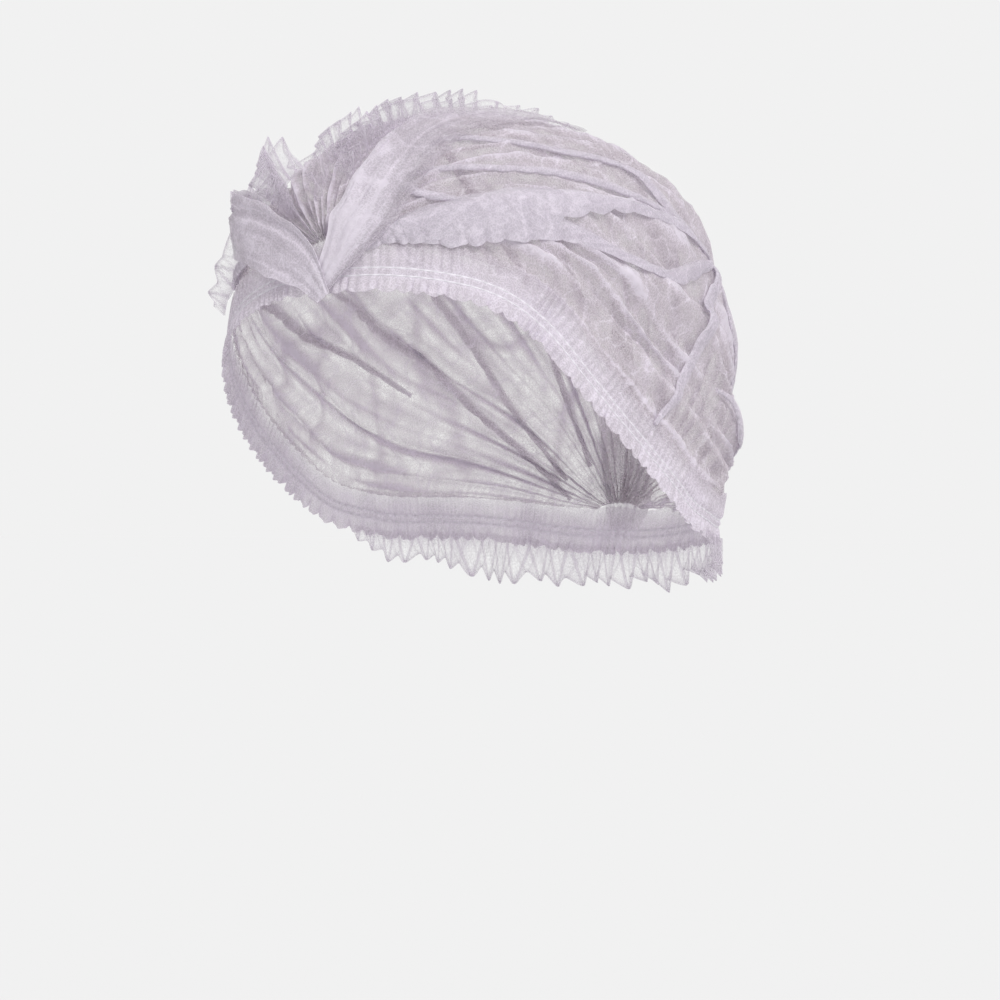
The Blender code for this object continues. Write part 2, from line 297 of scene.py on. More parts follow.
@dataclass(frozen=True)
class Rim:
    """The closed line of the cap's lower edge, and the line where the hem meets the crown."""

    form: CapForm
    hem_height: float = 0.0155
    gathers: int = 52
    clearance: float = 0.0004
    inset: float = 1.5
    rounding: float = 0.030
    half_steps: int = 361

    @cached_property
    def path(self) -> tuple[Array, Array]:
        """The rim's dense points and how far each lies along it."""
        rim = np.array(RIM_STATIONS, float)
        along = np.linspace(0, 180, self.half_steps)
        left = self.form.point(along, np.interp(along, rim[:, 0], rim[:, 1]))
        right = self.form.point(along, -np.interp(along, rim[:, 0], rim[:, 2]))
        path = np.vstack((left, right[-2::-1]))
        return path, travelled(path)

    @cached_property
    def length(self) -> float:
        """The way round the rim, in metres."""
        return float(self.path[1][-1])

    def loop(self, count: int) -> Array:
        """The rim's points, evenly spaced, from the front round by the wearer's left."""
        path, far = self.path
        wanted = np.linspace(0, far[-1], count, endpoint=False)
        return self.rounded(np.stack([np.interp(wanted, far, path[:, i]) for i in range(3)], axis=1))

    def rounded(self, values: Array) -> Array:
        """Vectors at even steps round the rim, with their corners smoothed out."""
        half = max(1, round(0.5 * self.rounding / self.length * len(values)))
        kernel = np.hanning(2 * half + 3)[1:-1]
        kernel = kernel / kernel.sum()
        wrapped = np.concatenate((values[-half:], values, values[:half]))
        return np.stack([np.convolve(wrapped[:, i], kernel, "valid") for i in range(3)], axis=1)

    def ups(self, points: Array) -> Array:
        """At each point of the rim, the direction in the cap's surface away from the rim."""
        tangent = unit(np.roll(points, -1, axis=0) - np.roll(points, 1, axis=0))
        return unit(self.rounded(np.cross(unit(points - self.form.centre), tangent)))

    @cached_property
    def seam(self) -> tuple[Array, Array]:
        """The line just above the hem, as along and across angles."""
        loop = self.loop(2 * self.gathers)
        raised = loop + (self.hem_height + self.clearance) * self.ups(loop)
        return self.form.places(unit(self.form.onto(raised) - self.form.centre))

    def edges(self, along: Array) -> list[Array]:
        """The across angles at which the crown stops, left and right."""
        line_along, line_across = self.seam
        found = []
        for side in (1, -1):
            own = line_across * side > 0
            order = np.argsort(line_along[own])
            found.append(np.interp(along, line_along[own][order], line_across[own][order]))
        return found

    @cached_property
    def span(self) -> tuple[float, float]:
        """The first and last along angles that the crown reaches above the gathers."""
        along, _ = self.seam
        return along.min() + self.inset, along.max() - self.inset


class Fold(NamedTuple):
    """A pleat that opened but still stands as a ridge.

    It runs from start to end along the cap, with its across angle at either end, and has shares
    of the fold height and spread.
    """

    start: float
    end: float
    across_start: float
    across_end: float
    height: float
    spread: float


FOLDS = (
    Fold(26, 108, 54, 45, 1.15, 1.0),
    Fold(26, 124, 66, 60, 1.10, 1.0),
    Fold(34, 120, 41, 33, 0.60, 0.7),
    Fold(56, 156, 28, 35, 0.75, 0.8),
    Fold(92, 164, 48, 46, 0.75, 0.9),
    Fold(104, 166, 72, 58, 0.85, 1.0),
    Fold(52, 128, 82, 86, 0.40, 0.7),
    Fold(88, 166, 12, 20, 0.75, 0.9),
    Fold(80, 160, -8, 2, 0.65, 0.8),
    Fold(56, 158, -18, -22, 0.75, 0.8),
    Fold(84, 158, -38, -40, 0.80, 0.9),
    Fold(70, 164, -56, -50, 0.85, 0.9),
    Fold(46, 140, -74, -68, 1.00, 1.0),
    Fold(46, 146, -88, -88, 0.45, 0.8),
)


@dataclass(frozen=True)
class Folds:
    """The crown's standing pleats, as the cap's solids have them."""

    form: CapForm
    height: float = 0.0056
    spread: float = 0.0062

    def relief(self, along: Array, across: Array) -> Array:
        """How high the folds lift the sheet at places on the cap, in metres."""
        around = self.form.around(along)
        lift = np.zeros(np.shape(along))
        for fold in FOLDS:
            share = np.clip((along - fold.start) / (fold.end - fold.start), 0, 1)
            middle = fold.across_start + share * (fold.across_end - fold.across_start)
            away = np.radians(across - middle) * around / (self.spread * fold.spread)
            lift += self.height * fold.height * np.sin(np.pi * share) * np.exp(-(away**2))
        return lift


@dataclass(frozen=True)
class Cover:
    """What already lies on the form where another piece is to be seated.

    A strip's seat is smoothed over one part in smoothing of its length.
    """

    form: CapForm
    rim: Rim
    folds: Folds
    sheet_wall: float = 0.0012
    hem_wall: float = 0.0021
    ripple: float = 0.30
    smoothing: int = 24

    def height(self, direction: Array) -> Array:
        """The height over the form of the hem, or of the crown's outer side."""
        along, across = self.form.places(direction)
        left, right = self.rim.edges(along)
        first, last = self.rim.span
        on_hem = (across > left) | (across < right) | (along < first) | (along > last)
        crown = self.folds.relief(along, across) + self.sheet_wall
        return np.where(on_hem, self.hem_wall * (1 + self.ripple / 2), crown)

    def seated(self, grid: Array, rows: slice, outward: Array, lift: Array | float, wall: float) -> Array:
        """A strip moved out, row by row, until it clears the cap.

        Args:
            grid: the strip's points, a row for each station along it.
            rows: the points of each row that seat on the cap.
            outward: the way out at each row.
            lift: how far each row stands off, in metres.
            wall: the thickness that the strip's solid has.

        Returns:
            The strip's points in their seat.
        """
        seat = grid[:, rows]
        distance = np.linalg.norm(seat - self.form.centre, axis=-1)
        direction = unit(seat - self.form.centre)
        short = (self.form.radius(direction) + self.height(direction) - distance).max(axis=1)
        reach = 2 * (len(grid) // self.smoothing) + 1
        wide = np.pad(short, reach - 1, mode="edge")
        highest = np.lib.stride_tricks.sliding_window_view(wide, reach).max(axis=1)
        smooth = np.convolve(highest, np.full(reach, 1 / reach), mode="valid")
        rise = smooth + self.rim.clearance + wall / 2 + lift
        return grid + (rise[:, None] * outward)[:, None, :]


def frame_along(form: CapForm, path: Array) -> tuple[Array, Array, Array]:
    """At each point of a path over the form: the way on, the way out and the way to its left."""
    onward = unit(np.gradient(path, axis=0))
    outward = unit(path - form.centre)
    return onward, outward, unit(np.cross(onward, outward))


class Value:
    """A number that a material's nodes work out, for use in Python expressions."""

    def __init__(self, nodes: "Nodes", socket: bpy.types.NodeSocket) -> None:
        """Wraps one output socket of the material."""
        self.nodes = nodes
        self.socket = socket

    def joined(self, operation: str, first: Any, second: Any) -> "Value":
        """A Math node on two values or numbers."""
        return self.nodes.add("ShaderNodeMath", {"operation": operation}, {0: first, 1: second})

    def __add__(self, other: Any) -> "Value":
        """self + other."""
        return self.joined("ADD", self, other)

    def __radd__(self, other: Any) -> "Value":
        """other + self."""
        return self.joined("ADD", other, self)

    def __sub__(self, other: Any) -> "Value":
        """self - other."""
        return self.joined("SUBTRACT", self, other)

    def __rsub__(self, other: Any) -> "Value":
        """other - self."""
        return self.joined("SUBTRACT", other, self)

    def __mul__(self, other: Any) -> "Value":
        """self * other."""
        return self.joined("MULTIPLY", self, other)

    def __rmul__(self, other: Any) -> "Value":
        """other * self."""
        return self.joined("MULTIPLY", other, self)

    def __abs__(self) -> "Value":
        """The value without its sign."""
        return self.joined("ABSOLUTE", self, 0.0)

    def between(self, low: float, high: float) -> "Value":
        """The value, held between two numbers."""
        return self.joined("MINIMUM", self.joined("MAXIMUM", self, low), high)


@dataclass
class Nodes:
    """The node tree of one material."""

    material: bpy.types.Material

    @classmethod
    def of_new(cls, name: str) -> "Nodes":
        """The nodes of a new material."""
        material = bpy.data.materials.new(name)
        material.use_nodes = True
        return cls(material)

    @property
    def shader(self) -> bpy.types.ShaderNode:
        """The material's own Principled shader."""
        return self.material.node_tree.nodes["Principled BSDF"]

    def feed(self, socket: bpy.types.NodeSocket, value: Any) -> None:
        """Gives a socket a number or colour of its own, or another node's value."""
        if isinstance(value, Value):
            self.material.node_tree.links.new(value.socket, socket)
        else:
            socket.default_value = value

    def finish(self, values: dict[str, Any]) -> None:
        """Gives the Principled shader's sockets their values."""
        for name, value in values.items():
            self.feed(self.shader.inputs[name], value)

    def add(
        self, kind: str, settings: dict[str, Any], values: dict[Any, Any], output: int | str = 0
    ) -> Value:
        """A new node.

        Args:
            kind: the node's type.
            settings: its own properties, set first.
            values: numbers or links for its sockets, by name or index.
            output: which output the result stands for.

        Returns:
            The chosen output, as a value.
        """
        node = self.material.node_tree.nodes.new(kind)
        for name, setting in settings.items():
            setattr(node, name, setting)
        for name, value in values.items():
            self.feed(node.inputs[name], value)
        return Value(self, node.outputs[output])

    def noise(self, vector: Value, scale: float, detail: float = 0.0) -> Value:
        """Noise from 0 to 1, with scale features in each metre."""
        return self.add("ShaderNodeTexNoise", {}, {"Vector": vector, "Scale": scale, "Detail": detail})

    def lines(self, vector: Value, scale: float, fineness: float, detail: float = 0.0) -> Value:
        """Lines from 0 to 1 that wander where noise crosses its middle, thinner when finer."""
        return (1 - abs(self.noise(vector, scale, detail) * 2 - 1) * fineness).between(0.0, 1.0)

    def mixed(self, share: Value, first: Colour, second: Colour) -> Value:
        """A colour between two others."""
        ends = {0: share, 6: (*first, 1.0), 7: (*second, 1.0)}
        return self.add("ShaderNodeMix", {"data_type": "RGBA"}, ends, 2)

    def bump(self, height: Value, strength: float, depth: float) -> Value:
        """The surface's normal over a relief of heights."""
        relief = {"Strength": strength, "Distance": depth, "Height": height}
        return self.add("ShaderNodeBump", {}, relief)


class ToneShares(NamedTuple):
    """How much each part of the cloth whitens it."""

    cloud: float = 0.3
    strands: float = 0.35
    veins: float = 0.3
    crease_and_painted_light: float = 0.7


@dataclass(frozen=True)
class Nonwoven:
    """Spunbonded nonwoven: a thin cloudy web of filaments, whiter where it is folded or doubled
    and where highlight is painted on it.

    The piece's own attribute says how white it is, from 0 to 1: its creases, with painted highlight
    and painted shade on some folds and wrinkles. Cover, cloud, filament, crinkle and crease are
    shares of what hides the view through it. Scales are features in each metre.
    """

    thin: Colour = (0.37, 0.31, 0.315)
    dense: Colour = (0.79, 0.745, 0.81)
    tone: ToneShares = ToneShares()
    cover: float = 0.25
    least_cover: float = 0.02
    cloud: float = 0.13
    cloud_scale: float = 150.0
    filament: float = 0.22
    filament_scale: float = 1050.0
    filament_fineness: float = 4.0
    filament_share: float = 0.4
    crinkle: float = 0.16
    crinkle_scale: float = 70.0
    crinkle_fineness: float = 15.0
    crease: float = 0.86
    translucency: float = 0.38
    roughness: float = 0.8
    roughness_spread: float = 0.15
    bump: float = 0.30
    bump_depth: float = 0.0012
    bump_scale: float = 430.0
    gloss: float = 0.25
    sheen: float = 0.08
    sheen_roughness: float = 0.45

    def material(self, name: str) -> bpy.types.Material:
        """Builds the finish.

        Args:
            name: the material's name.

        Returns:
            A new material with its own nodes.
        """
        nodes = Nodes.of_new(name)
        place = nodes.add("ShaderNodeTexCoord", {}, {}, "Object")
        # How white each point is, from its creases and from painted highlight and shade.
        crease_and_painted_light = nodes.add("ShaderNodeAttribute", {"attribute_name": CREASE_AND_PAINTED_LIGHT}, {}, "Fac")
        cloud = nodes.noise(place, self.cloud_scale)
        strands = nodes.lines(place, self.filament_scale, self.filament_fineness)
        veins = nodes.lines(place, self.crinkle_scale, self.crinkle_fineness, 1.0)
        web = (strands - self.filament_share) * self.filament
        body = self.cover + (cloud - 0.5) * (2 * self.cloud) + web
        alpha = (body + veins * self.crinkle + crease_and_painted_light * self.crease).between(self.least_cover, 1.0)
        share = self.tone
        tone = cloud * share.cloud + strands * share.strands
        tone = (tone + veins * share.veins + crease_and_painted_light * share.crease_and_painted_light).between(0.0, 1.0)
        colour = nodes.mixed(tone, self.thin, self.dense)
        rough = self.roughness + (0.5 - strands) * self.roughness_spread
        normal = nodes.bump(nodes.noise(place, self.bump_scale), self.bump, self.bump_depth)
        nodes.finish({
            "Base Color": colour,
            "Roughness": rough,
            "Normal": normal,
            "Specular IOR Level": self.gloss,
            "Sheen Weight": self.sheen,
            "Sheen Roughness": self.sheen_roughness,
        })
        lit = Value(nodes, nodes.shader.outputs[0])
        through = nodes.add("ShaderNodeBsdfTranslucent", {}, {"Color": (*self.dense, 1.0)})
        cloth = nodes.add("ShaderNodeMixShader", {}, {0: self.translucency, 1: lit, 2: through})
        holes = nodes.add("ShaderNodeBsdfTransparent", {}, {})
        whole = nodes.add("ShaderNodeMixShader", {}, {0: alpha, 1: holes, 2: cloth})
        output = nodes.material.node_tree.nodes["Material Output"]
        nodes.feed(output.inputs["Surface"], whole)
        return nodes.material


SHEER = Nonwoven()
SHIRRED = Nonwoven(thin=(0.52, 0.475, 0.51), cover=0.24, cloud=0.12, filament=0.20, crinkle=0.05)
LAPPED = Nonwoven(thin=(0.62, 0.585, 0.64), cover=0.26, cloud=0.10, filament=0.18, crinkle=0.12)
LAYERED = Nonwoven(thin=(0.36, 0.325, 0.35), cover=0.22, cloud=0.08, filament=0.14, crinkle=0.06)
FRILLED = Nonwoven(
    thin=(0.45, 0.41, 0.45), cover=0.035, cloud=0.03, filament=0.06, crinkle=0.04,
    crease=0.60, translucency=0.55,
)
FRINGED = Nonwoven(
    thin=(0.45, 0.41, 0.45), cover=0.08, cloud=0.06, filament=0.11, crinkle=0.06,
    crease=0.65, translucency=0.50,
)


@dataclass(frozen=True)
class Elastic:
    """Covered elastic thread: white yarn wound round a core."""

    colour: Colour = (0.78, 0.76, 0.81)
    shade: float = 0.8
    roughness: float = 0.6
    winding_scale: float = 150.0
    winding_wander: float = 0.6
    bump: float = 0.5
    bump_depth: float = 0.0002

    def material(self, name: str) -> bpy.types.Material:
        """Builds the finish.

        Args:
            name: the material's name.

        Returns:
            A new material with its own nodes.
        """
        nodes = Nodes.of_new(name)
        uv = nodes.add("ShaderNodeTexCoord", {}, {}, "UV")
        winding = {"Vector": uv, "Scale": self.winding_scale, "Distortion": self.winding_wander}
        wound = nodes.add("ShaderNodeTexWave", {"bands_direction": "DIAGONAL"}, winding)
        shade = tuple(self.shade * part for part in self.colour)
        nodes.finish({
            "Base Color": nodes.mixed(wound, shade, self.colour),
            "Normal": nodes.bump(wound, self.bump, self.bump_depth),
            "Roughness": self.roughness,
        })
        return nodes.material


class Cut(NamedTuple):
    """A piece of cloth: its points by row and column, and how white each is, from creases and painted
    highlight and shade.
    """

    grid: Array
    crease_and_painted_light: Array


@dataclass(frozen=True)
class Sheet:
    name: str
    node: str
    slot: Slot
    held: Held
    flat: tuple[float, float]
    area: float
    finish: Nonwoven
    rests_on: tuple[str, ...]
    wall: float = 0.00026

    def build(self, cut: Cut, ring: bool = False) -> bpy.types.Object:
        """The sheet's object, with a thin wall, its finish and what it stands for.

        Args:
            cut: the cloth's points and creases.
            ring: whether the last row joins the first.

        Returns:
            The finished object.
        """
        piece = mesh_object(self.name, cut, ring)
        piece.data.materials.append(self.finish.material(self.name + "_cloth"))
        thicken(piece, self.wall)
        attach(piece, "root")
        if self.node:
            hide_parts(self.node)
        return piece

    def declare(self, piece: bpy.types.Object) -> None:
        """Logs the piece's name and how many faces it has.

        Args:
            piece: the sheet's object.
        """
        LOG.info("%s: %d faces", piece.name, len(piece.data.polygons))

    def make(self, cut: Cut) -> None:
        """Builds a sheet that has nothing on it and logs its faces."""
        self.declare(self.build(cut))


def mesh_object(name: str, cut: Cut, ring: bool) -> bpy.types.Object:
    """An object of quads over a grid of points, with a UV map in metres.

    Args:
        name: the object's name.
        cut: its points, and their whiteness from creases and painted highlight and shade, by row
        and column, seen from outside with the rows going on and the columns going to the right.
        ring: whether the last row joins the first.

    Returns:
        The new object, at the origin.
    """
    grid = cut.grid
    rows, columns = grid.shape[:2]
    index = np.arange(rows * columns).reshape(rows, columns)
    following = np.roll(index, -1, axis=0) if ring else index[1:]
    kept = index if ring else index[:-1]
    faces = np.stack((kept[:, :-1], kept[:, 1:], following[:, 1:], following[:, :-1]), axis=-1)
    data = bpy.data.meshes.new(name)
    data.from_pydata(grid.reshape(-1, 3).tolist(), [], faces.reshape(-1, 4).tolist())
    onward = strides(grid).mean(axis=1)
    u = np.append(0, np.cumsum(strides(grid, 1).mean(axis=0)))
    v = np.append(0, np.cumsum(np.append(onward, onward[-1:])))
    i, j = np.meshgrid(np.arange(len(kept)), np.arange(columns - 1), indexing="ij")
    quad = ((0, 0), (0, 1), (1, 1), (1, 0))
    corners = [np.stack((u[j + right], v[i + on]), axis=-1) for on, right in quad]
    layer = data.uv_layers.new(name="UVMap")
    layer.data.foreach_set("uv", np.stack(corners, axis=-2).astype(np.float32).ravel())
    crease_and_painted_light = data.attributes.new(CREASE_AND_PAINTED_LIGHT, "FLOAT", "POINT")
    crease_and_painted_light.data.foreach_set("value", np.clip(cut.crease_and_painted_light, 0, 1).astype(np.float32).ravel())
    data.shade_smooth()
    piece = bpy.data.objects.new(name, data)
    bpy.context.collection.objects.link(piece)
    return piece


def activate(piece: bpy.types.Object) -> None:
    """Selects one object alone and makes it the active one."""
    for other in bpy.context.selected_objects:
        other.select_set(False)
    piece.select_set(True)
    bpy.context.view_layer.objects.active = piece


def thicken(piece: bpy.types.Object, wall: float) -> None:
    """Gives a sheet its two sides and closed edges.

    Args:
        piece: the sheet's object.
        wall: its thickness, in metres.
    """
    activate(piece)
    solid = piece.modifiers.new("wall", "SOLIDIFY")
    solid.thickness = wall
    solid.offset = 0.0
    bpy.ops.object.modifier_apply(modifier=solid.name)
    piece.data.set_sharp_from_angle(angle=math.radians(SHARP_ANGLE))


class Crinkle(NamedTuple):
    """Random ridges in a sheet: how wide apart they lie, in metres, their seed and sharpness.

    Its height is a share of the sheet's crumple, and white is how much it whitens the sheet.
    """

    length: float
    seed: float
    sharpness: float
    height: float
    white: float

    def over(self, points: Array) -> Array:
        """The ridges at points, from 0 to 1."""
        return ridge(grain(points, self.length, self.seed), self.sharpness)


class Wander(NamedTuple):
    """How a value drifts along each crease, in metres along it and from one to the next."""

    length: float
    seed: float
    apart: float

    def along(self, travel: Array, number: Array) -> Array:
        """The drift at distances along numbered creases, from about -1 to 1."""
        return line_grain(travel + self.apart * number, self.length, self.seed)


@dataclass
class Crown:
    """The main sheet: pleats opened over the head, with a crease where each was folded."""

    form: CapForm
    rim: Rim
    folds: Folds
    rows: int = 192
    crowding: float = 0.5
    pleats: int = 56
    columns_per_pleat: int = 4
    jitter: float = 0.33
    swerve: float = 0.5
    swerving: Wander = Wander(0.026, 5.0, 0.31)
    strength: float = 0.85
    strength_swing: float = 1.3
    strongest: float = 1.4
    strengthening: Wander = Wander(0.036, 9.0, 0.47)
    rest: float = 0.0007
    edge_rest: float = 0.0003
    crease: float = 0.0015
    edge_crease: float = 0.2
    crumple: float = 0.0007
    crumple_middle: float = 0.4
    crinkle: Crinkle = Crinkle(0.015, 4.0, 5, 1.0, 0.14)
    fine_crinkle: Crinkle = Crinkle(0.0065, 8.0, 4, 0.4, 0.08)
    long_crinkle: Crinkle = Crinkle(0.030, 12.0, 9, 0.9, 0.34)
    long_stretch: tuple[float, float, float] = (1, 1, 0.6)
    tucked: float = 1.4
    margin: float = 0.0006
    margin_start: float = 0.001
    margin_reach: float = 0.010
    gather_pitch: float = 0.0056
    gather_hardness: float = 1.2
    gather_drift: float = 0.5
    drift_length: float = 0.02
    drift_seed: float = 2.0
    gather_white: float = 0.22
    fold_white: float = 1.10
    inner_white: float = 0.50
    # Painted highlight on fold lines that point out, painted shade on those that point in.
    outward_highlight: float = 0.3
    faintest: float = 0.2
    # Painted highlight on the standing pleats, more where they lift the sheet higher.
    pleat_top_highlight: float = 0.20
    pleat_top_gain: float = 1.3
    seed: int = 11

    def creases(self, along: Array) -> tuple[Array, Array]:
        """Where the old fold lines run and how high each stands.

        Args:
            along: the rows' angles.

        Returns:
            Shares from the right edge to the left, and shares of the crease height, a row for
            each angle.
        """
        random = np.random.default_rng(self.seed)
        count = self.pleats + 1
        jitter = random.uniform(-self.jitter, self.jitter, count) / self.pleats
        jitter[[0, -1]] = 0
        travel = np.radians(along)[:, None] * self.form.length / 2
        number = np.arange(count)[None, :]
        wander = self.swerving.along(travel, number) * self.swerve / self.pleats
        wander[:, [0, -1]] = 0
        turn = np.where(number % 2 == 0, -1.0, 1.0)
        strength = self.strength + self.strength_swing * self.strengthening.along(travel, number)
        return np.linspace(0, 1, count) + jitter + wander, turn * np.clip(strength, 0.0, self.strongest)

    def whiteness(self, height: Array, lift: Array) -> tuple[Array, Array]:
        """How white the sheet is on its old fold lines, with painted highlight on those that point out and
        painted shade on those that point in, and with painted highlight on its standing pleats where they
        lift it.

        Args:
            height: shares of the crease height, negative where a fold line points in.
            lift: how high the standing pleats lift the sheet, in metres.

        Returns:
            The whiteness of either at each point.
        """
        clear = np.clip(np.abs(height) - self.faintest, 0, 1)
        # Whiter on the fold lines, with painted highlight where they point out and painted shade where
        # they point in.
        doubled = clear * (self.inner_white + self.outward_highlight * np.sign(height))
        # Painted highlight on the standing pleats, growing with how high they lift the sheet.
        steep = self.pleat_top_gain * (lift / self.folds.height) ** 2
        return self.fold_white * doubled, self.pleat_top_highlight * np.minimum(steep, 1)

    def cut(self) -> Cut:
        """The sheet's points and crease whiteness, with painted highlight and shade on some folds, a row
        for each angle along the cap.
        """
        first, last = self.rim.span
        even = np.linspace(0, 1, self.rows)
        crowded = (1 - np.cos(np.pi * even)) / 2
        along = first + (last - first) * (self.crowding * crowded + (1 - self.crowding) * even)
        share, height = self.creases(along)
        part = np.arange(self.columns_per_pleat) / self.columns_per_pleat
        share = self.drawn_between(share, part)
        height = self.drawn_between(height, part)
        left, right = self.rim.edges(along)
        left, right = left + self.tucked, right - self.tucked
        across = right[:, None] + (left - right)[:, None] * share
        along = np.repeat(along[:, None], across.shape[1], axis=1)
        lift = self.folds.relief(along, across)
        edge = np.minimum(share, 1 - share) * np.radians(left - right)[:, None] * self.form.around(along)
        inner = smooth_step(edge, self.margin_start, self.margin_reach)
        base = self.form.point(along, across)
        ridges = self.crinkle.over(base)
        small = self.fine_crinkle.over(base)
        long = self.long_crinkle.over(base * self.long_stretch)
        crumple = self.crinkle.height * ridges + self.fine_crinkle.height * small
        crumple = self.crumple * (crumple + self.long_crinkle.height * long - self.crumple_middle)
        travel = np.radians(along) * self.form.length / 2
        drift = self.gather_drift * line_grain(travel, self.drift_length, self.drift_seed)
        gathers = blocky(travel / self.gather_pitch + drift, self.gather_hardness)
        near = np.exp(-edge / self.margin_reach)
        rest = self.edge_rest + (self.rest - self.edge_rest) * inner
        stands = self.edge_crease + (1 - self.edge_crease) * inner
        bent = self.crease * height * stands + self.margin * gathers * near
        raised = rest + (lift + crumple) * inner + bent
        # Crease whiteness, with painted highlight and shade on the fold lines and standing pleats.
        fold_lines_and_highlight, pleat_top_highlight = self.whiteness(height, lift)
        crease_and_painted_light = fold_lines_and_highlight + self.crinkle.white * ridges + self.fine_crinkle.white * small
        crease_and_painted_light = crease_and_painted_light + self.long_crinkle.white * long * inner
        crease_and_painted_light = crease_and_painted_light + pleat_top_highlight + self.gather_white * (1 - gathers**2) * near
        return Cut(self.form.point(along, across, raised), crease_and_painted_light)

    @staticmethod
    def drawn_between(values: Array, part: Array) -> Array:
        """Columns filled in evenly between one crease and the next."""
        start, step = values[:, :-1, None], np.diff(values, axis=1)[:, :, None]
        between = (start + step * part).reshape(len(values), -1)
        return np.hstack((between, values[:, -1:]))

    def build(self) -> None:
        """The crown's sheet."""
        Sheet(
            "crown_sheet", "crown", Slot.SHEET, Held.GATHERED, (0.36, 0.30), 0.070, SHEER, ("hem_cloth",)
        ).make(self.cut())


class Lap(NamedTuple):
    """One station of a laid pleat: where its upper edge runs, and its width in metres."""

    along: float
    across: float
    width: float


@dataclass(frozen=True)
class Pleat:
    """A pleat that lies over the crown, doubled, its free edge towards the rim.

    Its side is 1 where the free edge points to the wearer's left and -1 to the right.
    """

    name: str
    side: int
    scallop: float
    stations: tuple[Lap, ...]


LAID_PLEATS = (
    Pleat(
        "temple_pleat_left", 1, 0.0030,
        (Lap(10, 32, 0.003), Lap(15, 35, 0.0070), Lap(20, 38, 0.0120), Lap(27, 41, 0.0155),
         Lap(35, 43.5, 0.0165), Lap(43, 45, 0.0150), Lap(51, 46.5, 0.0105), Lap(59, 47, 0.0068),
         Lap(68, 46, 0.0056), Lap(78, 44.5, 0.0060), Lap(90, 42.5, 0.0050), Lap(104, 41, 0.002)),
    ),
    Pleat(
        "temple_pleat_left_under", 1, 0.0022,
        (Lap(15, 42, 0.003), Lap(19, 45, 0.0060), Lap(25, 48, 0.0105), Lap(32, 50, 0.0120),
         Lap(40, 52, 0.0115), Lap(48, 55, 0.0072), Lap(57, 57, 0.0062), Lap(66, 58, 0.0058),
         Lap(76, 56, 0.0058), Lap(86, 50.5, 0.0052), Lap(98, 43.5, 0.002)),
    ),
    Pleat(
        "brow_pleat_left", 1, 0.0008,
        (Lap(16, 13, 0.0015), Lap(21, 17, 0.0030), Lap(24, 25, 0.0032), Lap(26, 34, 0.0035),
         Lap(30, 43, 0.002)),
    ),
    Pleat(
        "top_pleat_left", 1, 0.0010,
        (Lap(29, 13, 0.0015), Lap(38, 17, 0.0028), Lap(45, 25, 0.0026), Lap(56, 31, 0.0032),
         Lap(68, 33, 0.0040), Lap(77, 37.5, 0.0042), Lap(87, 40, 0.0040), Lap(100, 41.5, 0.002)),
    ),
    Pleat(
        "side_pleat_left", 1, 0.0008,
        (Lap(24, 19, 0.0015), Lap(31, 27, 0.0024), Lap(41, 36, 0.0028), Lap(52, 40, 0.0030),
         Lap(66, 41, 0.0032), Lap(80, 41, 0.0030), Lap(94, 41, 0.002)),
    ),
    Pleat(
        "ear_pleat_left", 1, 0.0010,
        (Lap(101, 38, 0.002), Lap(101, 49, 0.0060), Lap(96, 60, 0.0070), Lap(93, 71, 0.0060),
         Lap(88, 82, 0.0045), Lap(82, 93, 0.0020)),
    ),
    Pleat(
        "back_pleat_left", 1, 0.0008,
        (Lap(100, 43, 0.002), Lap(112, 47, 0.0036), Lap(124, 46, 0.0042), Lap(138, 49, 0.0034),
         Lap(152, 46, 0.0030), Lap(166, 44, 0.0015)),
    ),
    Pleat(
        "nape_pleat_left", 1, 0.0008,
        (Lap(106, 70, 0.0015), Lap(116, 67, 0.0032), Lap(128, 67, 0.0040), Lap(140, 61, 0.0034),
         Lap(152, 60, 0.0026), Lap(164, 56, 0.0015)),
    ),
    Pleat(
        "top_pleat_back", 1, 0.0008,
        (Lap(86, 8, 0.0015), Lap(98, 12, 0.0030), Lap(112, 11, 0.0036), Lap(128, 16, 0.0030),
         Lap(148, 15, 0.0026), Lap(166, 20, 0.0015)),
    ),
    Pleat(
        "top_pleat_right", -1, 0.0008,
        (Lap(52, -12, 0.0015), Lap(66, -15, 0.0026), Lap(82, -17, 0.0034), Lap(100, -20, 0.0036),
         Lap(120, -20, 0.0026), Lap(140, -22, 0.0024), Lap(160, -22, 0.0015)),
    ),
    Pleat(
        "side_pleat_right", -1, 0.0008,
        (Lap(66, -32, 0.0015), Lap(80, -34, 0.0030), Lap(94, -36, 0.0036), Lap(110, -38, 0.0030),
         Lap(126, -39, 0.0026), Lap(142, -41, 0.0022), Lap(160, -40, 0.0015)),
    ),
    Pleat(
        "temple_pleat_right", -1, 0.0020,
        (Lap(24, -61, 0.002), Lap(32, -64, 0.0070), Lap(44, -65, 0.0085), Lap(56, -66, 0.0055),
         Lap(68, -65, 0.0036), Lap(82, -65, 0.0032), Lap(98, -62, 0.0026), Lap(120, -60, 0.0015)),
    ),
    Pleat(
        "back_pleat_right", -1, 0.0010,
        (Lap(80, -54, 0.0015), Lap(92, -52, 0.0028), Lap(106, -52, 0.0036), Lap(120, -50, 0.0030),
         Lap(136, -50, 0.0026), Lap(150, -48, 0.0022), Lap(164, -46, 0.0015)),
    ),
)


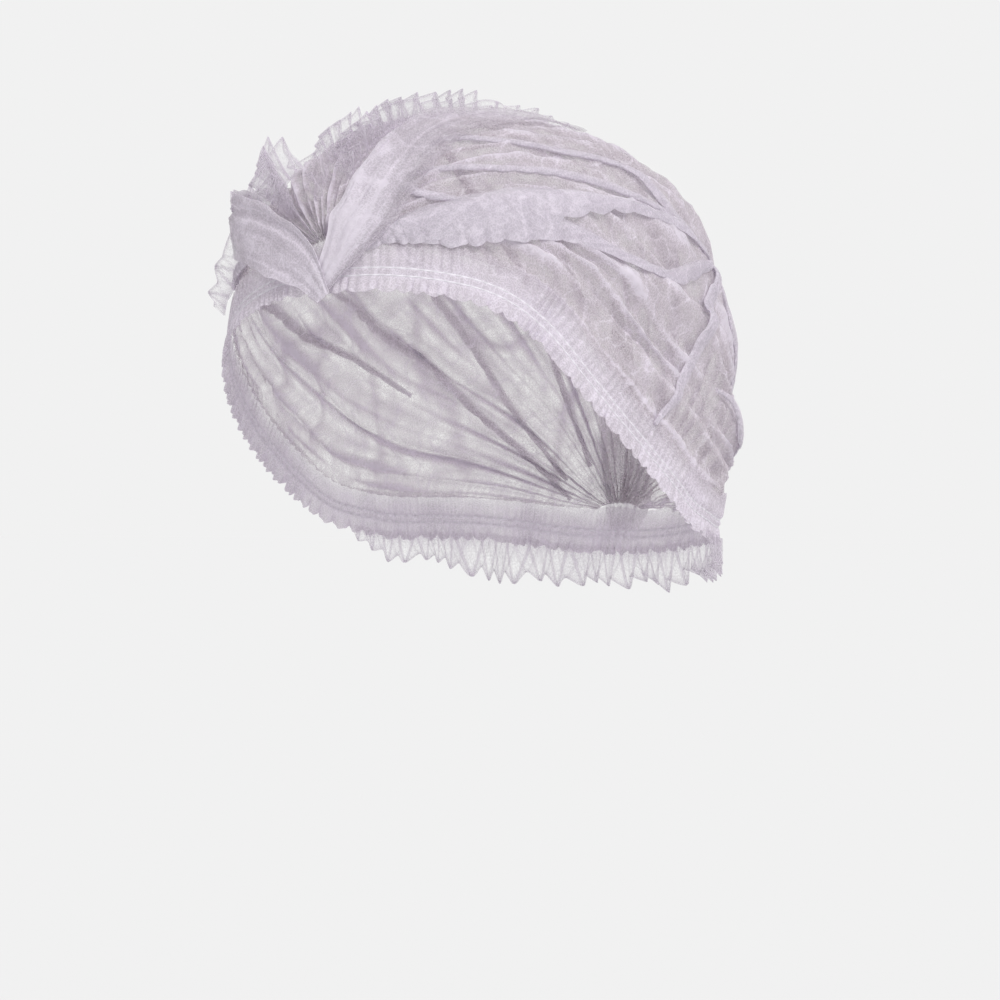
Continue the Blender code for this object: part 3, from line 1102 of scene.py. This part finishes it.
@dataclass
class LaidPleat:
    """Builds one laid pleat: an upper layer, the turn at its free edge, and a lower layer.

    Places over its width are shares of a round trip: 0 at its seam, 1 at its free edge, and on
    towards 2 back under it.
    """

    form: CapForm
    folds: Folds
    pleat: Pleat
    seed: float
    step: float = 0.0007
    columns: int = 20
    round_trip: float = 1.72
    turn_start: float = 0.90
    turn_end: float = 1.10
    seat: float = 0.0008
    clear: float = 0.0019
    clear_reach: float = 0.35
    loft: float = 0.0026
    under_loft: float = 0.45
    deepest: float = -0.0004
    full_width: float = 0.012
    least_width: float = 0.0101
    gap: float = 0.0007
    coarse_steps: int = 80
    narrow_clear: float = 0.55
    full_clear: float = 0.45
    lobe_length: float = 0.0088
    lobe_middle: float = 0.6
    lobe_drift: float = 0.55
    lobe_drift_length: float = 0.017
    ragged: float = 0.08
    ragged_length: float = 0.006
    belly: float = 0.55
    edge_loft: float = 0.25
    least_loft: float = 0.1
    lobe_swing: float = 0.45
    swing: float = 0.25
    swing_length: float = 0.007
    wrinkle_length: float = 0.005
    wrinkle_sharpness: float = 5.0
    edge_sharpness: float = 7.0
    white: float = 0.18
    full_white: float = 0.24
    edge_white: float = 0.25
    wrinkle_white: float = 0.25
    lobe_white: float = 0.10
    seam_white: float = 0.35

    def whiteness(self, trip: Array, reach: Array, wrinkle: Array, fullness: Array, lobes: Array) -> Array:
        """How white the pleat looks: most along its free edge and on its wrinkles.

        Args:
            trip: shares of the round trip.
            reach: shares of the width from the seam.
            wrinkle: the wrinkles, from 0 to 1.
            fullness: how wide the pleat is at each row, up to 1.
            lobes: the scallops of its free edge.

        Returns:
            A value for each point.
        """
        edge = ridge(trip - 1, self.edge_sharpness)
        crease_and_painted_light = self.white + self.full_white * fullness + self.edge_white * edge
        crease_and_painted_light = crease_and_painted_light + self.wrinkle_white * wrinkle + self.lobe_white * lobes * fullness
        off_seam = smooth_step(reach, 0.0, self.clear_reach)
        return crease_and_painted_light * (self.seam_white + (1 - self.seam_white) * off_seam)

    def cut(self) -> Cut:
        """The pleat's points and creases, a row for each step along it."""
        coarse = eased(self.pleat.stations, self.coarse_steps)
        length = strides(self.form.point(coarse[:, 0], coarse[:, 1])).sum()
        along, across, width = eased(self.pleat.stations, round(length / self.step)).T
        path = self.form.point(along, across)
        _, _, leftward = frame_along(self.form, path)
        travel = np.linspace(0, length, len(path))[:, None]
        trip = np.linspace(0, self.round_trip, self.columns)[None, :]
        reach = np.minimum(trip, 2 - trip)
        under = smooth_step(trip, self.turn_start, self.turn_end)
        drift = self.lobe_drift * line_grain(travel, self.lobe_drift_length, self.seed)
        lobes = np.abs(np.sin(np.pi * (travel / self.lobe_length + drift))) ** 0.6 - self.lobe_middle
        fullness = np.clip(width / self.full_width, 0, 1)[:, None]
        ragged = line_grain(travel, self.ragged_length, self.seed + 3)
        spread = width[:, None] * reach * (1 + self.ragged * ragged)
        spread = spread + self.pleat.scallop * (width / width.max())[:, None] * lobes * reach**2
        flat = path[:, None] + self.pleat.side * spread[..., None] * leftward[:, None]
        direction = unit(flat - self.form.centre)
        relief = self.folds.relief(*self.form.places(direction))
        belly = np.sin(np.pi * np.clip(reach, 0, 1) ** 0.8) * self.belly + self.edge_loft * reach
        swing = line_grain(travel + 3 * spread, self.swing_length, self.seed + 6)
        swing = self.lobe_swing * lobes * reach**1.5 + self.swing * swing
        lift = self.loft * fullness * (belly + swing + self.least_loft)
        clear = (self.clear - self.seat) * (self.narrow_clear + self.full_clear * fullness)
        clear = self.seat + clear * smooth_step(reach, 0.0, self.clear_reach)
        raised = np.maximum(lift * (1 - (1 - self.under_loft) * under), self.deepest)
        lift = relief + clear + raised - self.gap * (under - 1)
        grid = self.form.centre + direction * (self.form.radius(direction) + lift)[..., None]
        wrinkle = line_grain(travel + 2.5 * spread, self.wrinkle_length, self.seed + 9)
        wrinkle = ridge(wrinkle, self.wrinkle_sharpness)
        crease_and_painted_light = self.whiteness(trip, reach, wrinkle, fullness, lobes)
        return Cut(grid[:, :: self.pleat.side], crease_and_painted_light[:, :: self.pleat.side])

    def build(self) -> None:
        """The pleat's sheet, with the flat size that its own points give."""
        cut = self.cut()
        edge = strides(cut.grid[:, 0]).sum()
        wide = strides(cut.grid, 1).sum(axis=1)
        flat = (max(round(float(wide.max()), 4), self.least_width), round(float(edge), 4))
        area = round(float(wide.mean() * edge), 6)
        Sheet(
            self.pleat.name, "", Slot.SHEET, Held.FOLDED, flat, area, LAPPED, ("crown_sheet",)
        ).make(cut)


@dataclass
class ElasticHem:
    """The shirred hem: two elastic threads gather the sheet's edge into a small frill."""

    form: CapForm
    rim: Rim
    edge_frill: float = 0.0048
    columns: int = 1500
    rows: int = 24
    fine_pitch: float = 0.0030
    fine_hardness: float = 1.6
    broad_pitch: float = 0.0068
    noise_radius: float = 0.09
    loose_length: float = 0.010
    slow_length: float = 0.019
    elastic: tuple[float, float] = (0.335, 0.495)
    pinch_width: float = 0.060
    top: float = 1.06
    puff: float = 0.0013
    gather: float = 0.00052
    edge_lift: float = 0.0004
    edge_swing: float = 0.0008
    upper_lift: float = 0.0003
    upper_drift: float = 0.0022
    drawn_flat: float = 0.85
    drawn_low: float = 0.45
    lobe_middle: float = 0.6
    lobe_drop: float = 0.46
    white: float = 0.46
    drift_white: float = 0.30
    gather_white: float = 0.20
    drawn_white: float = 0.30
    notch_white: float = 0.50
    upper_fade: float = 0.72
    thread_radius: float = 0.00024
    thread_proud: float = 0.6
    thread_sides: int = 8
    thread_steps: int = 700
    weld: float = 1e-6
    seed: float = 6.0

    def waves(self, travel: Array) -> tuple[Array, Array, Array]:
        """The fine gathers, the broad lobes and a slow drift at distances along the rim.

        Args:
            travel: distances along the rim, in metres.

        Returns:
            Gathers from -1 to 1, lobes from 0 in the notches to 1, and the drift.
        """
        turn = travel / self.rim.length
        circle = np.stack((np.cos(2 * np.pi * turn), np.sin(2 * np.pi * turn), 0 * turn), axis=-1)
        loose = grain(circle * self.noise_radius, self.loose_length, self.seed)
        slow = grain(circle * self.noise_radius, self.slow_length, self.seed + 3)
        fine_count = round(self.rim.length / self.fine_pitch)
        broad_count = round(self.rim.length / self.broad_pitch)
        fine = blocky(turn * fine_count + 1.5 * loose, self.fine_hardness) * (0.85 + 0.8 * slow)
        lobes = np.abs(np.sin(np.pi * (turn * broad_count + 1.1 * slow + 0.5 * loose))) ** 0.5
        return fine, lobes, slow

    def surface(self, travel: Array, height: Array) -> tuple[Array, Array, Array]:
        """The hem's middle surface.

        Args:
            travel: distances along the rim, in metres.
            height: shares of the hem's height.

        Returns:
            The lift over the form and the height over the rim, in metres, and the creases.
        """
        fine, lobes, slow = self.waves(travel)
        drawn = sum(np.exp(-(((height - line) / self.pinch_width) ** 2)) for line in self.elastic)
        drawn = np.clip(drawn, 0, 1)
        free = smooth_step(self.elastic[0] - height, 0.0, 0.30)
        upper = smooth_step(height, 0.80, 1.05)
        swing = (1 - self.drawn_flat * drawn) * (1 - 0.35 * upper)
        lift = self.puff * (1 - self.drawn_low * drawn) + self.edge_lift * free
        lift = lift + self.upper_lift * upper
        lift = lift + swing * self.gather * fine + self.edge_swing * free * (lobes - 0.5)
        drop = self.edge_frill * free * (self.lobe_drop * (lobes - self.lobe_middle) + 0.02 * fine)
        rise = self.upper_lift * upper * fine + self.upper_drift * upper * slow
        crease_and_painted_light = self.white + self.drift_white * slow + self.gather_white * (1 - np.abs(fine))
        crease_and_painted_light = crease_and_painted_light + self.drawn_white * drawn + self.notch_white * free * (1 - lobes)
        crease_and_painted_light = crease_and_painted_light * (1 - self.upper_fade * smooth_step(height, 0.62, 1.05))
        return lift, height * self.rim.hem_height - drop + rise, crease_and_painted_light

    def cut(self) -> Cut:
        """The hem's points and creases, a row for each step round the rim, from the top down."""
        loop = self.rim.loop(self.columns)
        ups = self.rim.ups(loop)
        travel = np.linspace(0, self.rim.length, self.columns, endpoint=False)[:, None]
        share = np.linspace(self.top, 0, self.rows)[None, :]
        lift, height, crease_and_painted_light = self.surface(travel, share)
        points = loop[:, None] + ups[:, None] * height[..., None]
        return Cut(self.form.onto(points, lift), crease_and_painted_light)

    def thread(self, name: str, line: float) -> bpy.types.Object:
        """One elastic thread, a tube in the groove that it draws.

        Args:
            name: the thread's name.
            line: its share of the hem's height.

        Returns:
            The thread's object.
        """
        count = self.thread_steps
        loop = self.rim.loop(count)
        ups = self.rim.ups(loop)
        travel = np.linspace(0, self.rim.length, count, endpoint=False)
        lift, height, _ = self.surface(travel, np.full(count, line))
        lift = lift + self.thread_proud * self.thread_radius
        middle = self.form.onto(loop + ups * height[:, None], lift)
        outward = unit(middle - self.form.centre)
        turn = np.linspace(0, 2 * np.pi, self.thread_sides + 1)
        ring = np.cos(turn)[None, :, None] * ups[:, None] + np.sin(turn)[None, :, None] * outward[:, None]
        points = middle[:, None] + self.thread_radius * ring
        piece = mesh_object(name, Cut(points, np.zeros(points.shape[:2])), True)
        activate(piece)
        weld = piece.modifiers.new("weld", "WELD")
        weld.merge_threshold = self.weld
        bpy.ops.object.modifier_apply(modifier=weld.name)
        piece.data.materials.append(Elastic().material(name + "_yarn"))
        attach(piece, "root")
        LOG.info("%s: %d faces", piece.name, len(piece.data.polygons))
        return piece

    def build(self) -> None:
        """The hem's cloth and its two threads."""
        cloth = Sheet(
            "hem_cloth", "elastic_hem", Slot.HEM, Held.GATHERED, (0.56, 0.024), 0.0125, SHIRRED,
            ("crown_sheet",),
        )
        piece = cloth.build(self.cut(), ring=True)
        names = ("lower_elastic_thread", "upper_elastic_thread")
        threads = [self.thread(name, line) for name, line in zip(names, self.elastic)]
        cloth.declare(piece)


class Section(NamedTuple):
    """One section of a pleat band: its middle line and its shares of stand-off, width and depth.

    Its roll, in degrees, lifts its left edge.
    """

    along: float
    across: float
    lift: float
    width: float
    roll: float
    depth: float


LEFT_SECTIONS = (
    Section(-2, 28, 0.00, 0.24, -4, 0.2),
    Section(3, 26, 0.00, 0.50, -6, 0.4),
    Section(8, 25, 0.00, 0.82, -10, 0.6),
    Section(13, 24, 0.02, 1.08, -14, 1.0),
    Section(20, 20, 0.02, 1.12, -16, 1.0),
    Section(28, 17, 0.02, 1.08, -16, 1.0),
    Section(38, 15, 0.02, 0.96, -12, 0.9),
    Section(50, 15, 0.02, 0.78, -8, 0.7),
    Section(64, 15, 0.01, 0.56, -4, 0.5),
    Section(78, 14, 0.00, 0.34, 0, 0.3),
)
RIGHT_SECTIONS = (
    Section(-2, -40, 0.04, 0.28, 4, 0.2),
    Section(3, -43, 0.04, 0.58, 8, 0.4),
    Section(8, -48, 0.05, 0.90, 14, 0.6),
    Section(13, -53, 0.10, 1.10, 24, 1.0),
    Section(20, -58, 0.24, 1.18, 34, 1.0),
    Section(28, -58, 0.28, 1.12, 38, 1.0),
    Section(38, -54, 0.16, 0.98, 30, 0.9),
    Section(50, -49, 0.06, 0.76, 16, 0.7),
    Section(62, -46, 0.01, 0.54, 6, 0.5),
    Section(74, -44, 0.00, 0.34, 0, 0.3),
)
NAPE_SECTIONS = (
    Section(176, 4, 0.00, 0.36, 0, 0.2),
    Section(171, 3, 0.02, 0.90, 0, 0.6),
    Section(163, 1, 0.03, 1.10, 0, 1.0),
    Section(153, -1, 0.03, 1.05, 0, 1.0),
    Section(142, -2, 0.02, 0.72, 0, 0.7),
    Section(133, -2, 0.01, 0.34, 0, 0.4),
    Section(126, -2, 0.00, 0.08, 0, 0.2),
)


@dataclass
class PleatBand:
    """A band of pleats that stayed shut, one on the other, so that only faint steps show."""

    form: CapForm
    cover: Cover
    name: str
    node: str
    sections: tuple[Section, ...]
    flat: tuple[float, float]
    area: float
    closed: float
    pleats: int = 5
    open_from: float = 0.95
    fade: float = 0.0
    band: float = 0.019
    step_depth: float = 0.0005
    curl: float = 0.0022
    bend: float = 0.0016
    stand_off: float = 0.018
    wall: float = 0.0014
    wander: float = 0.22
    wander_length: float = 0.024
    edge_ragged: float = 0.0012
    wavy_length: float = 0.016
    ragged_length: float = 0.007
    soft: float = 0.0014
    soft_length: float = 0.016
    soft_skew: tuple[float, float, float] = (0.02, 0.03, 0.01)
    bend_length: float = 0.42
    white: float = 0.10
    step_white: float = 0.14
    step_sharpness: float = 9.0
    bend_white: float = 0.25
    bend_sharpness: float = 5.0
    # Painted highlight where the soft wrinkles rise, painted shade where they sink.
    soft_highlight: float = 0.15
    rows: int = 130
    columns_per_pleat: int = 12
    seed: float = 2.0

    def cut(self) -> Cut:
        """The band's points and crease whiteness, with painted highlight and shade on its soft wrinkles, a
        row for each step along it.
        """
        along, across, lift, width, roll, depth = eased(self.sections, self.rows).T
        path = self.form.point(along, across)
        onward, outward, leftward = frame_along(self.form, path)
        tilt = np.radians(roll)[:, None]
        sideways = leftward * np.cos(tilt) + outward * np.sin(tilt)
        over = np.cross(sideways, onward)
        share = np.linspace(-0.5, 0.5, self.pleats * self.columns_per_pleat + 1)[None, :]
        travel = travelled(path)[:, None]
        wander = self.wander * line_grain(travel + 3 * share, self.wander_length, self.seed)
        phase = share * self.pleats + wander
        step = phase - np.floor(phase)
        deep = depth[:, None]
        side = np.sign(share)
        edge = (np.abs(share) * 2) ** 3
        wavy = line_grain(travel + 0.9 * side, self.wavy_length, self.seed + 4)
        ragged = line_grain(travel + 0.7 * side, self.ragged_length, self.seed + 7)
        reach = side * edge * self.edge_ragged * (ragged + 0.5 * wavy) * deep
        reach = share * width[:, None] * self.band + reach
        rise = self.step_depth * (step - 0.5) * deep + self.curl * edge * (0.35 + wavy) * deep
        place = path[:, None] + share[..., None] * np.array(self.soft_skew)
        soft = grain(place, self.soft_length, self.seed)
        bends = line_grain(2.6 * share + 9 * travel, self.bend_length, self.seed + 11)
        rise = rise + (self.soft * soft + self.bend * bends) * deep
        grid = path[:, None] + reach[..., None] * sideways[:, None] + rise[..., None] * over[:, None]
        grid = self.cover.seated(grid, slice(None), outward, lift * self.stand_off, self.wall)
        line = ridge(np.minimum(step, 1 - step), self.step_sharpness)
        closed = self.closed * smooth_step(travel / travel[-1], self.open_from, 0.12)
        crease_and_painted_light = closed + self.step_white * line + self.bend_white * ridge(bends, self.bend_sharpness)
        # The soft wrinkles' own height adds painted highlight on their rises and painted shade in their
        # hollows.
        crease_and_painted_light = self.white + (crease_and_painted_light + self.soft_highlight * soft)
        return Cut(grid, crease_and_painted_light * (1 - self.fade * smooth_step(share, 0.02, 0.48)))

    def build(self) -> None:
        """The band's sheet."""
        Sheet(
            self.name, self.node, Slot.PLEATS, Held.FOLDED, self.flat, self.area, LAYERED,
            ("crown_sheet", "hem_cloth"),
        ).make(self.cut())


class Station(NamedTuple):
    """One station of a standing frill: its foot, its share of the height, and its lean."""

    along: float
    across: float
    height: float
    lean: float


LEFT_STATIONS = (
    Station(22, -3, 0.45, 0),
    Station(28, -2, 0.62, 0),
    Station(36, 0, 0.74, -6),
    Station(45, 3, 0.68, -6),
    Station(56, 6, 0.46, -2),
    Station(68, 8, 0.32, 0),
    Station(82, 9, 0.20, 0),
)
LEFT_INNER_STATIONS = (
    Station(24, -8, 0.36, 0),
    Station(32, -6, 0.56, -4),
    Station(42, -4, 0.60, -6),
    Station(54, 0, 0.42, -2),
    Station(68, 3, 0.22, 0),
)
RIGHT_STATIONS = (
    Station(17, -34, 0.35, 0),
    Station(21, -36, 0.80, 0),
    Station(26, -38, 1.05, 0),
    Station(33, -38, 1.05, 0),
    Station(44, -37, 0.80, 0),
    Station(58, -36, 0.52, 0),
    Station(74, -36, 0.26, 0),
)
RIGHT_OUTER_STATIONS = (
    Station(22, -46, 0.45, -10),
    Station(28, -49, 0.80, -14),
    Station(37, -50, 0.85, -14),
    Station(48, -48, 0.55, -8),
    Station(62, -46, 0.25, 0),
)
MIDDLE_STATIONS = (
    Station(19, -18, 0.42, 0),
    Station(26, -16, 0.68, 0),
    Station(34, -14, 0.72, 0),
    Station(46, -11, 0.30, 0),
)
BROW_STATIONS = (
    Station(30, -46, 0.30, -20),
    Station(32, -56, 0.62, -24),
    Station(34, -66, 0.74, -22),
    Station(35, -76, 0.62, -16),
    Station(36, -84, 0.35, -8),
)


@dataclass
class StandingFrill:
    """A pleat that stands on edge: two sides that meet in a crest, crumpled to and fro."""

    form: CapForm
    cover: Cover
    name: str
    node: str
    stations: tuple[Station, ...]
    flat: tuple[float, float]
    area: float
    pitch: float
    fold: float
    height: float = 0.013
    foot: float = 0.0010
    ragged: float = 0.17
    sharpness: float = 0.88
    wall: float = 0.0011
    loose_length: float = 0.013
    bend: float = 0.0024
    bend_length: float = 0.022
    slant: float = 0.0026
    slant_length: float = 0.009
    fan: float = 0.35
    fan_length: float = 0.015
    foot_white: float = 0.4
    crest_white: float = 0.55
    coarse_steps: int = 60
    side_rows: int = 12
    steps_per_fold: int = 14
    seed: float = 1.0

    def cut(self) -> Cut:
        """The frill's points and crease whiteness, with painted highlight and shade on its zigzag, a row
        for each step along it, over the crest.
        """
        along, across = eased(self.stations, self.coarse_steps).T[:2]
        length = strides(self.form.point(along, across)).sum()
        count = round(length / self.pitch) * self.steps_per_fold + 1
        along, across, height, lean = eased(self.stations, count).T
        path = self.form.point(along, across)
        onward, outward, leftward = frame_along(self.form, path)
        tilt = np.radians(lean)[:, None]
        upward = outward * np.cos(tilt) + leftward * np.sin(tilt)
        travel = np.linspace(0, length, count)[:, None]
        side = np.linspace(-1, 1, 2 * self.side_rows + 1)[None, :]
        rise = 1 - np.abs(side) ** 1.3
        loose = line_grain(travel, self.loose_length, self.seed)
        other = line_grain(travel, self.loose_length, self.seed + 5)
        tall = line_grain(travel, 1.4 * self.pitch, self.seed + 21)
        fan = self.fan * rise * line_grain(travel, self.fan_length, self.seed + 17)
        phase = travel / self.pitch + 0.9 * loose + fan + 0.30 * side * (1 + other)
        wave = folded(phase, self.sharpness)
        ragged = 1 + self.ragged * wave * (1 + 1.2 * tall) + 0.16 * loose + 0.9 * self.ragged * tall
        up = rise * ragged * height[:, None] * self.height
        reach = side * self.foot * (1 + 0.3 * other)
        swing = self.fold * np.clip(1.9 * height, 0.2, 1)[:, None]
        fold = wave * swing * (0.22 + 0.95 * rise) * (0.80 + 0.7 * other)
        bend = self.bend * rise**2 * line_grain(travel, self.bend_length, self.seed + 9)
        slant = self.slant * rise * line_grain(travel, self.slant_length, self.seed + 13)
        grid = path[:, None] + up[..., None] * upward[:, None] + slant[..., None] * onward[:, None]
        grid = grid + (reach + fold + bend)[..., None] * leftward[:, None]
        # The zigzag's folds whiten, with painted highlight to one side and painted shade to the other.
        crease_and_painted_light = zigzag_whiteness(wave) + self.foot_white * (1 - rise) ** 3
        crease_and_painted_light = crease_and_painted_light + self.crest_white * rise**16
        return Cut(self.cover.seated(grid, slice(0, 1), outward, 0.0, self.wall), crease_and_painted_light)

    def build(self) -> None:
        """The frill's sheet."""
        Sheet(
            self.name, self.node, Slot.FRILL, Held.FOLDED, self.flat, self.area, FRILLED,
            ("crown_sheet",),
        ).make(self.cut())


@dataclass
class NapeRuffle:
    """The ragged ruffle that hangs from the hem's lower edge round the nape."""

    form: CapForm
    rim: Rim
    drop: float = 0.0125
    lap: float = 0.0022
    flare: float = 0.005
    start: float = 118.0
    start_share: float = 0.10
    seam: float = 0.0028
    pitch: float = 0.0066
    fold: float = 0.0035
    sharpness: float = 0.80
    layer_gap: float = 0.0005
    flare_drift: float = 0.0022
    loose_length: float = 0.013
    other_length: float = 0.014
    tall_length: float = 0.0105
    fan: float = 0.30
    fan_length: float = 0.016
    seam_white: float = 0.3
    edge_white: float = 0.55
    columns: int = 1500
    rows: int = 24
    seed: float = 4.0

    def cut(self) -> Cut:
        """The ruffle's points and crease whiteness, with painted highlight and shade on its zigzag, a row
        for each step, down and back up inside.
        """
        loop = self.rim.loop(self.columns)
        ups = self.rim.ups(loop)
        along, _ = self.form.places(unit(loop - self.form.centre))
        kept = along > self.start
        loop, ups, along = loop[kept], ups[kept], along[kept]
        outward = unit(loop - self.form.centre)
        bloom = np.sin(np.radians(90 * (along - self.start) / (180 - self.start))) ** 0.55
        travel = travelled(loop)[:, None]
        side = np.linspace(-1, 1, self.rows)[None, :]
        down = 1 - np.abs(side) ** 1.2
        loose = line_grain(travel, self.loose_length, self.seed)
        other = line_grain(travel, self.other_length, self.seed + 5)
        tall = line_grain(travel, self.tall_length, self.seed + 8)
        fan = self.fan * down * line_grain(travel, self.fan_length, self.seed + 11)
        phase = travel / self.pitch + 1.1 * loose + fan + 0.40 * side * (1 + other)
        wave = folded(phase, self.sharpness)
        ragged = 1 + 0.06 * wave * (1 + 1.5 * tall) + 0.42 * tall
        depth = self.start_share + (1 - self.start_share) * bloom[:, None]
        hang = down * (self.drop + self.lap) * depth * ragged - self.lap
        out = self.seam + down * depth * (self.flare + self.flare_drift * other)
        out = out + wave * self.fold * down * depth + side * self.layer_gap
        # The zigzag's folds whiten, with painted highlight to one side and painted shade to the other.
        crease_and_painted_light = zigzag_whiteness(wave) + self.edge_white * down**16
        crease_and_painted_light = crease_and_painted_light + self.seam_white * (1 - down) ** 3
        grid = loop[:, None] - hang[..., None] * ups[:, None] + out[..., None] * outward[:, None]
        return Cut(grid, crease_and_painted_light)

    def build(self) -> None:
        """The ruffle's sheet."""
        Sheet(
            "nape_ruffle_cloth", "nape_ruffle", Slot.FRILL, Held.GATHERED, (0.40, 0.032), 0.0070, FRINGED,
            ("hem_cloth",),
        ).make(self.cut())


@dataclass
class Studio:
    """A pale floor and backdrop, soft light and the camera."""

    floor_height: float = -0.42
    floor_size: float = 40.0
    camera_turn: float = 36.5
    camera_distance: float = 1.25
    camera_side: float = 0.007
    camera_height: float = -0.1304
    pixels_per_metre: float = 2875.0
    image_width: int = 1000
    sensor: float = 36.0
    pale: Colour = (1.0, 1.0, 1.0)
    surround: float = 0.88
    floor_share: float = 0.723
    floor_roughness: float = 0.9
    key: float = 1.8
    key_softness: float = 18.0
    key_turn: float = 64.0
    key_height: float = 36.0
    sheer_layers: int = 32

    def build_floor(self) -> None:
        """The floor, far larger than any view of it."""
        half = self.floor_size / 2
        plan = ((-half, -half), (half, -half), (half, half), (-half, half))
        data = bpy.data.meshes.new("studio_floor")
        data.from_pydata([(x, y, self.floor_height) for x, y in plan], [], [(0, 1, 2, 3)])
        floor = bpy.data.objects.new("studio_floor", data)
        bpy.context.collection.objects.link(floor)
        paint = Nodes.of_new("studio_paint")
        paint.finish({
            "Base Color": (*(self.floor_share * part for part in self.pale), 1.0),
            "Specular IOR Level": 0.0,
            "Roughness": self.floor_roughness,
        })
        data.materials.append(paint.material)

    def build_lights(self) -> None:
        """An even pale surround and a soft key lamp."""
        world = bpy.data.worlds.new("studio_world")
        world.use_nodes = True
        surround = world.node_tree.nodes["Background"]
        surround.inputs["Color"].default_value = (*self.pale, 1.0)
        surround.inputs["Strength"].default_value = self.surround
        bpy.context.scene.world = world
        lamp = bpy.data.lights.new("key_light", "SUN")
        lamp.energy = self.key
        lamp.angle = math.radians(self.key_softness)
        holder = bpy.data.objects.new("key_light", lamp)
        turn, tilt = math.radians(self.key_turn), math.radians(self.key_height)
        level = math.cos(tilt)
        towards = Vector((math.sin(turn) * level, -math.cos(turn) * level, math.sin(tilt)))
        holder.rotation_euler = towards.to_track_quat("Z", "Y").to_euler()
        bpy.context.collection.objects.link(holder)

    def build_camera(self) -> None:
        """The camera where the photograph was taken, level and straight on."""
        data = bpy.data.cameras.new("camera")
        data.sensor_width = self.sensor
        data.lens = self.sensor * self.pixels_per_metre * self.camera_distance / self.image_width
        camera = bpy.data.objects.new("camera", data)
        angle = math.radians(self.camera_turn)
        back = Vector((math.sin(angle), -math.cos(angle), 0))
        right = Vector((math.cos(angle), math.sin(angle), 0))
        camera.location = back * self.camera_distance + right * self.camera_side
        camera.location.z = self.camera_height
        camera.rotation_euler = (math.radians(90), 0, angle)
        bpy.context.collection.objects.link(camera)
        bpy.context.scene.camera = camera

    def build(self) -> None:
        """Everything round the cap."""
        self.build_camera()
        self.build_floor()
        self.build_lights()
        scene = bpy.context.scene
        scene.view_settings.view_transform = "Standard"
        scene.cycles.transparent_max_bounces = self.sheer_layers


def bands(form: CapForm, cover: Cover) -> list[PleatBand]:
    """The two lapels that cross over the forehead, and the bunch at the nape."""
    return [
        PleatBand(
            form, cover, "left_lapel", "front_pleats_left", LEFT_SECTIONS, (0.036, 0.115), 0.0022,
            closed=0.92, open_from=0.60, fade=0.75,
        ),
        PleatBand(
            form, cover, "right_lapel", "front_pleats_right", RIGHT_SECTIONS, (0.036, 0.115), 0.0022,
            pleats=3, closed=0.60, open_from=0.62, seed=5.0,
        ),
        PleatBand(
            form, cover, "nape_pleat_bunch", "nape_pleats", NAPE_SECTIONS, (0.034, 0.085), 0.0016,
            closed=0.14, seed=8.0,
        ),
    ]


def frills(form: CapForm, cover: Cover) -> list[StandingFrill]:
    """The frills and ruffles that stand at the front."""
    return [
        StandingFrill(
            form, cover, "left_frill", "front_frill_left", LEFT_STATIONS, (0.026, 0.100), 0.0026,
            pitch=0.0064, fold=0.0033,
        ),
        StandingFrill(
            form, cover, "left_frill_inner", "", LEFT_INNER_STATIONS, (0.022, 0.080), 0.0017,
            pitch=0.0058, fold=0.0030, seed=11.0,
        ),
        StandingFrill(
            form, cover, "right_frill", "front_frill_right", RIGHT_STATIONS, (0.034, 0.095), 0.0032,
            pitch=0.0080, fold=0.0042, seed=21.0,
        ),
        StandingFrill(
            form, cover, "right_frill_outer", "", RIGHT_OUTER_STATIONS, (0.026, 0.080), 0.0020,
            pitch=0.0074, fold=0.0038, seed=31.0,
        ),
        StandingFrill(
            form, cover, "middle_ruffle", "front_ruffle", MIDDLE_STATIONS, (0.022, 0.050), 0.0011,
            pitch=0.0062, fold=0.0032, seed=41.0,
        ),
        StandingFrill(
            form, cover, "brow_ruffle_right", "", BROW_STATIONS, (0.016, 0.060), 0.0008,
            pitch=0.0105, fold=0.0024, ragged=0.07, sharpness=0.7, seed=51.0,
        ),
    ]


def main() -> None:
    """Builds every piece of the cap and the studio."""
    logging.basicConfig(level=logging.INFO, format="%(name)s %(message)s")
    Studio().build()
    form = CapForm()
    rim = Rim(form)
    folds = Folds(form)
    cover = Cover(form, rim, folds)
    Crown(form, rim, folds).build()
    ElasticHem(form, rim).build()
    for number, pleat in enumerate(LAID_PLEATS):
        LaidPleat(form, folds, pleat, PLEAT_SEED_STEP * number).build()
    for piece in bands(form, cover) + frills(form, cover):
        piece.build()
    NapeRuffle(form, rim).build()


if __name__ == "__main__":
    main()
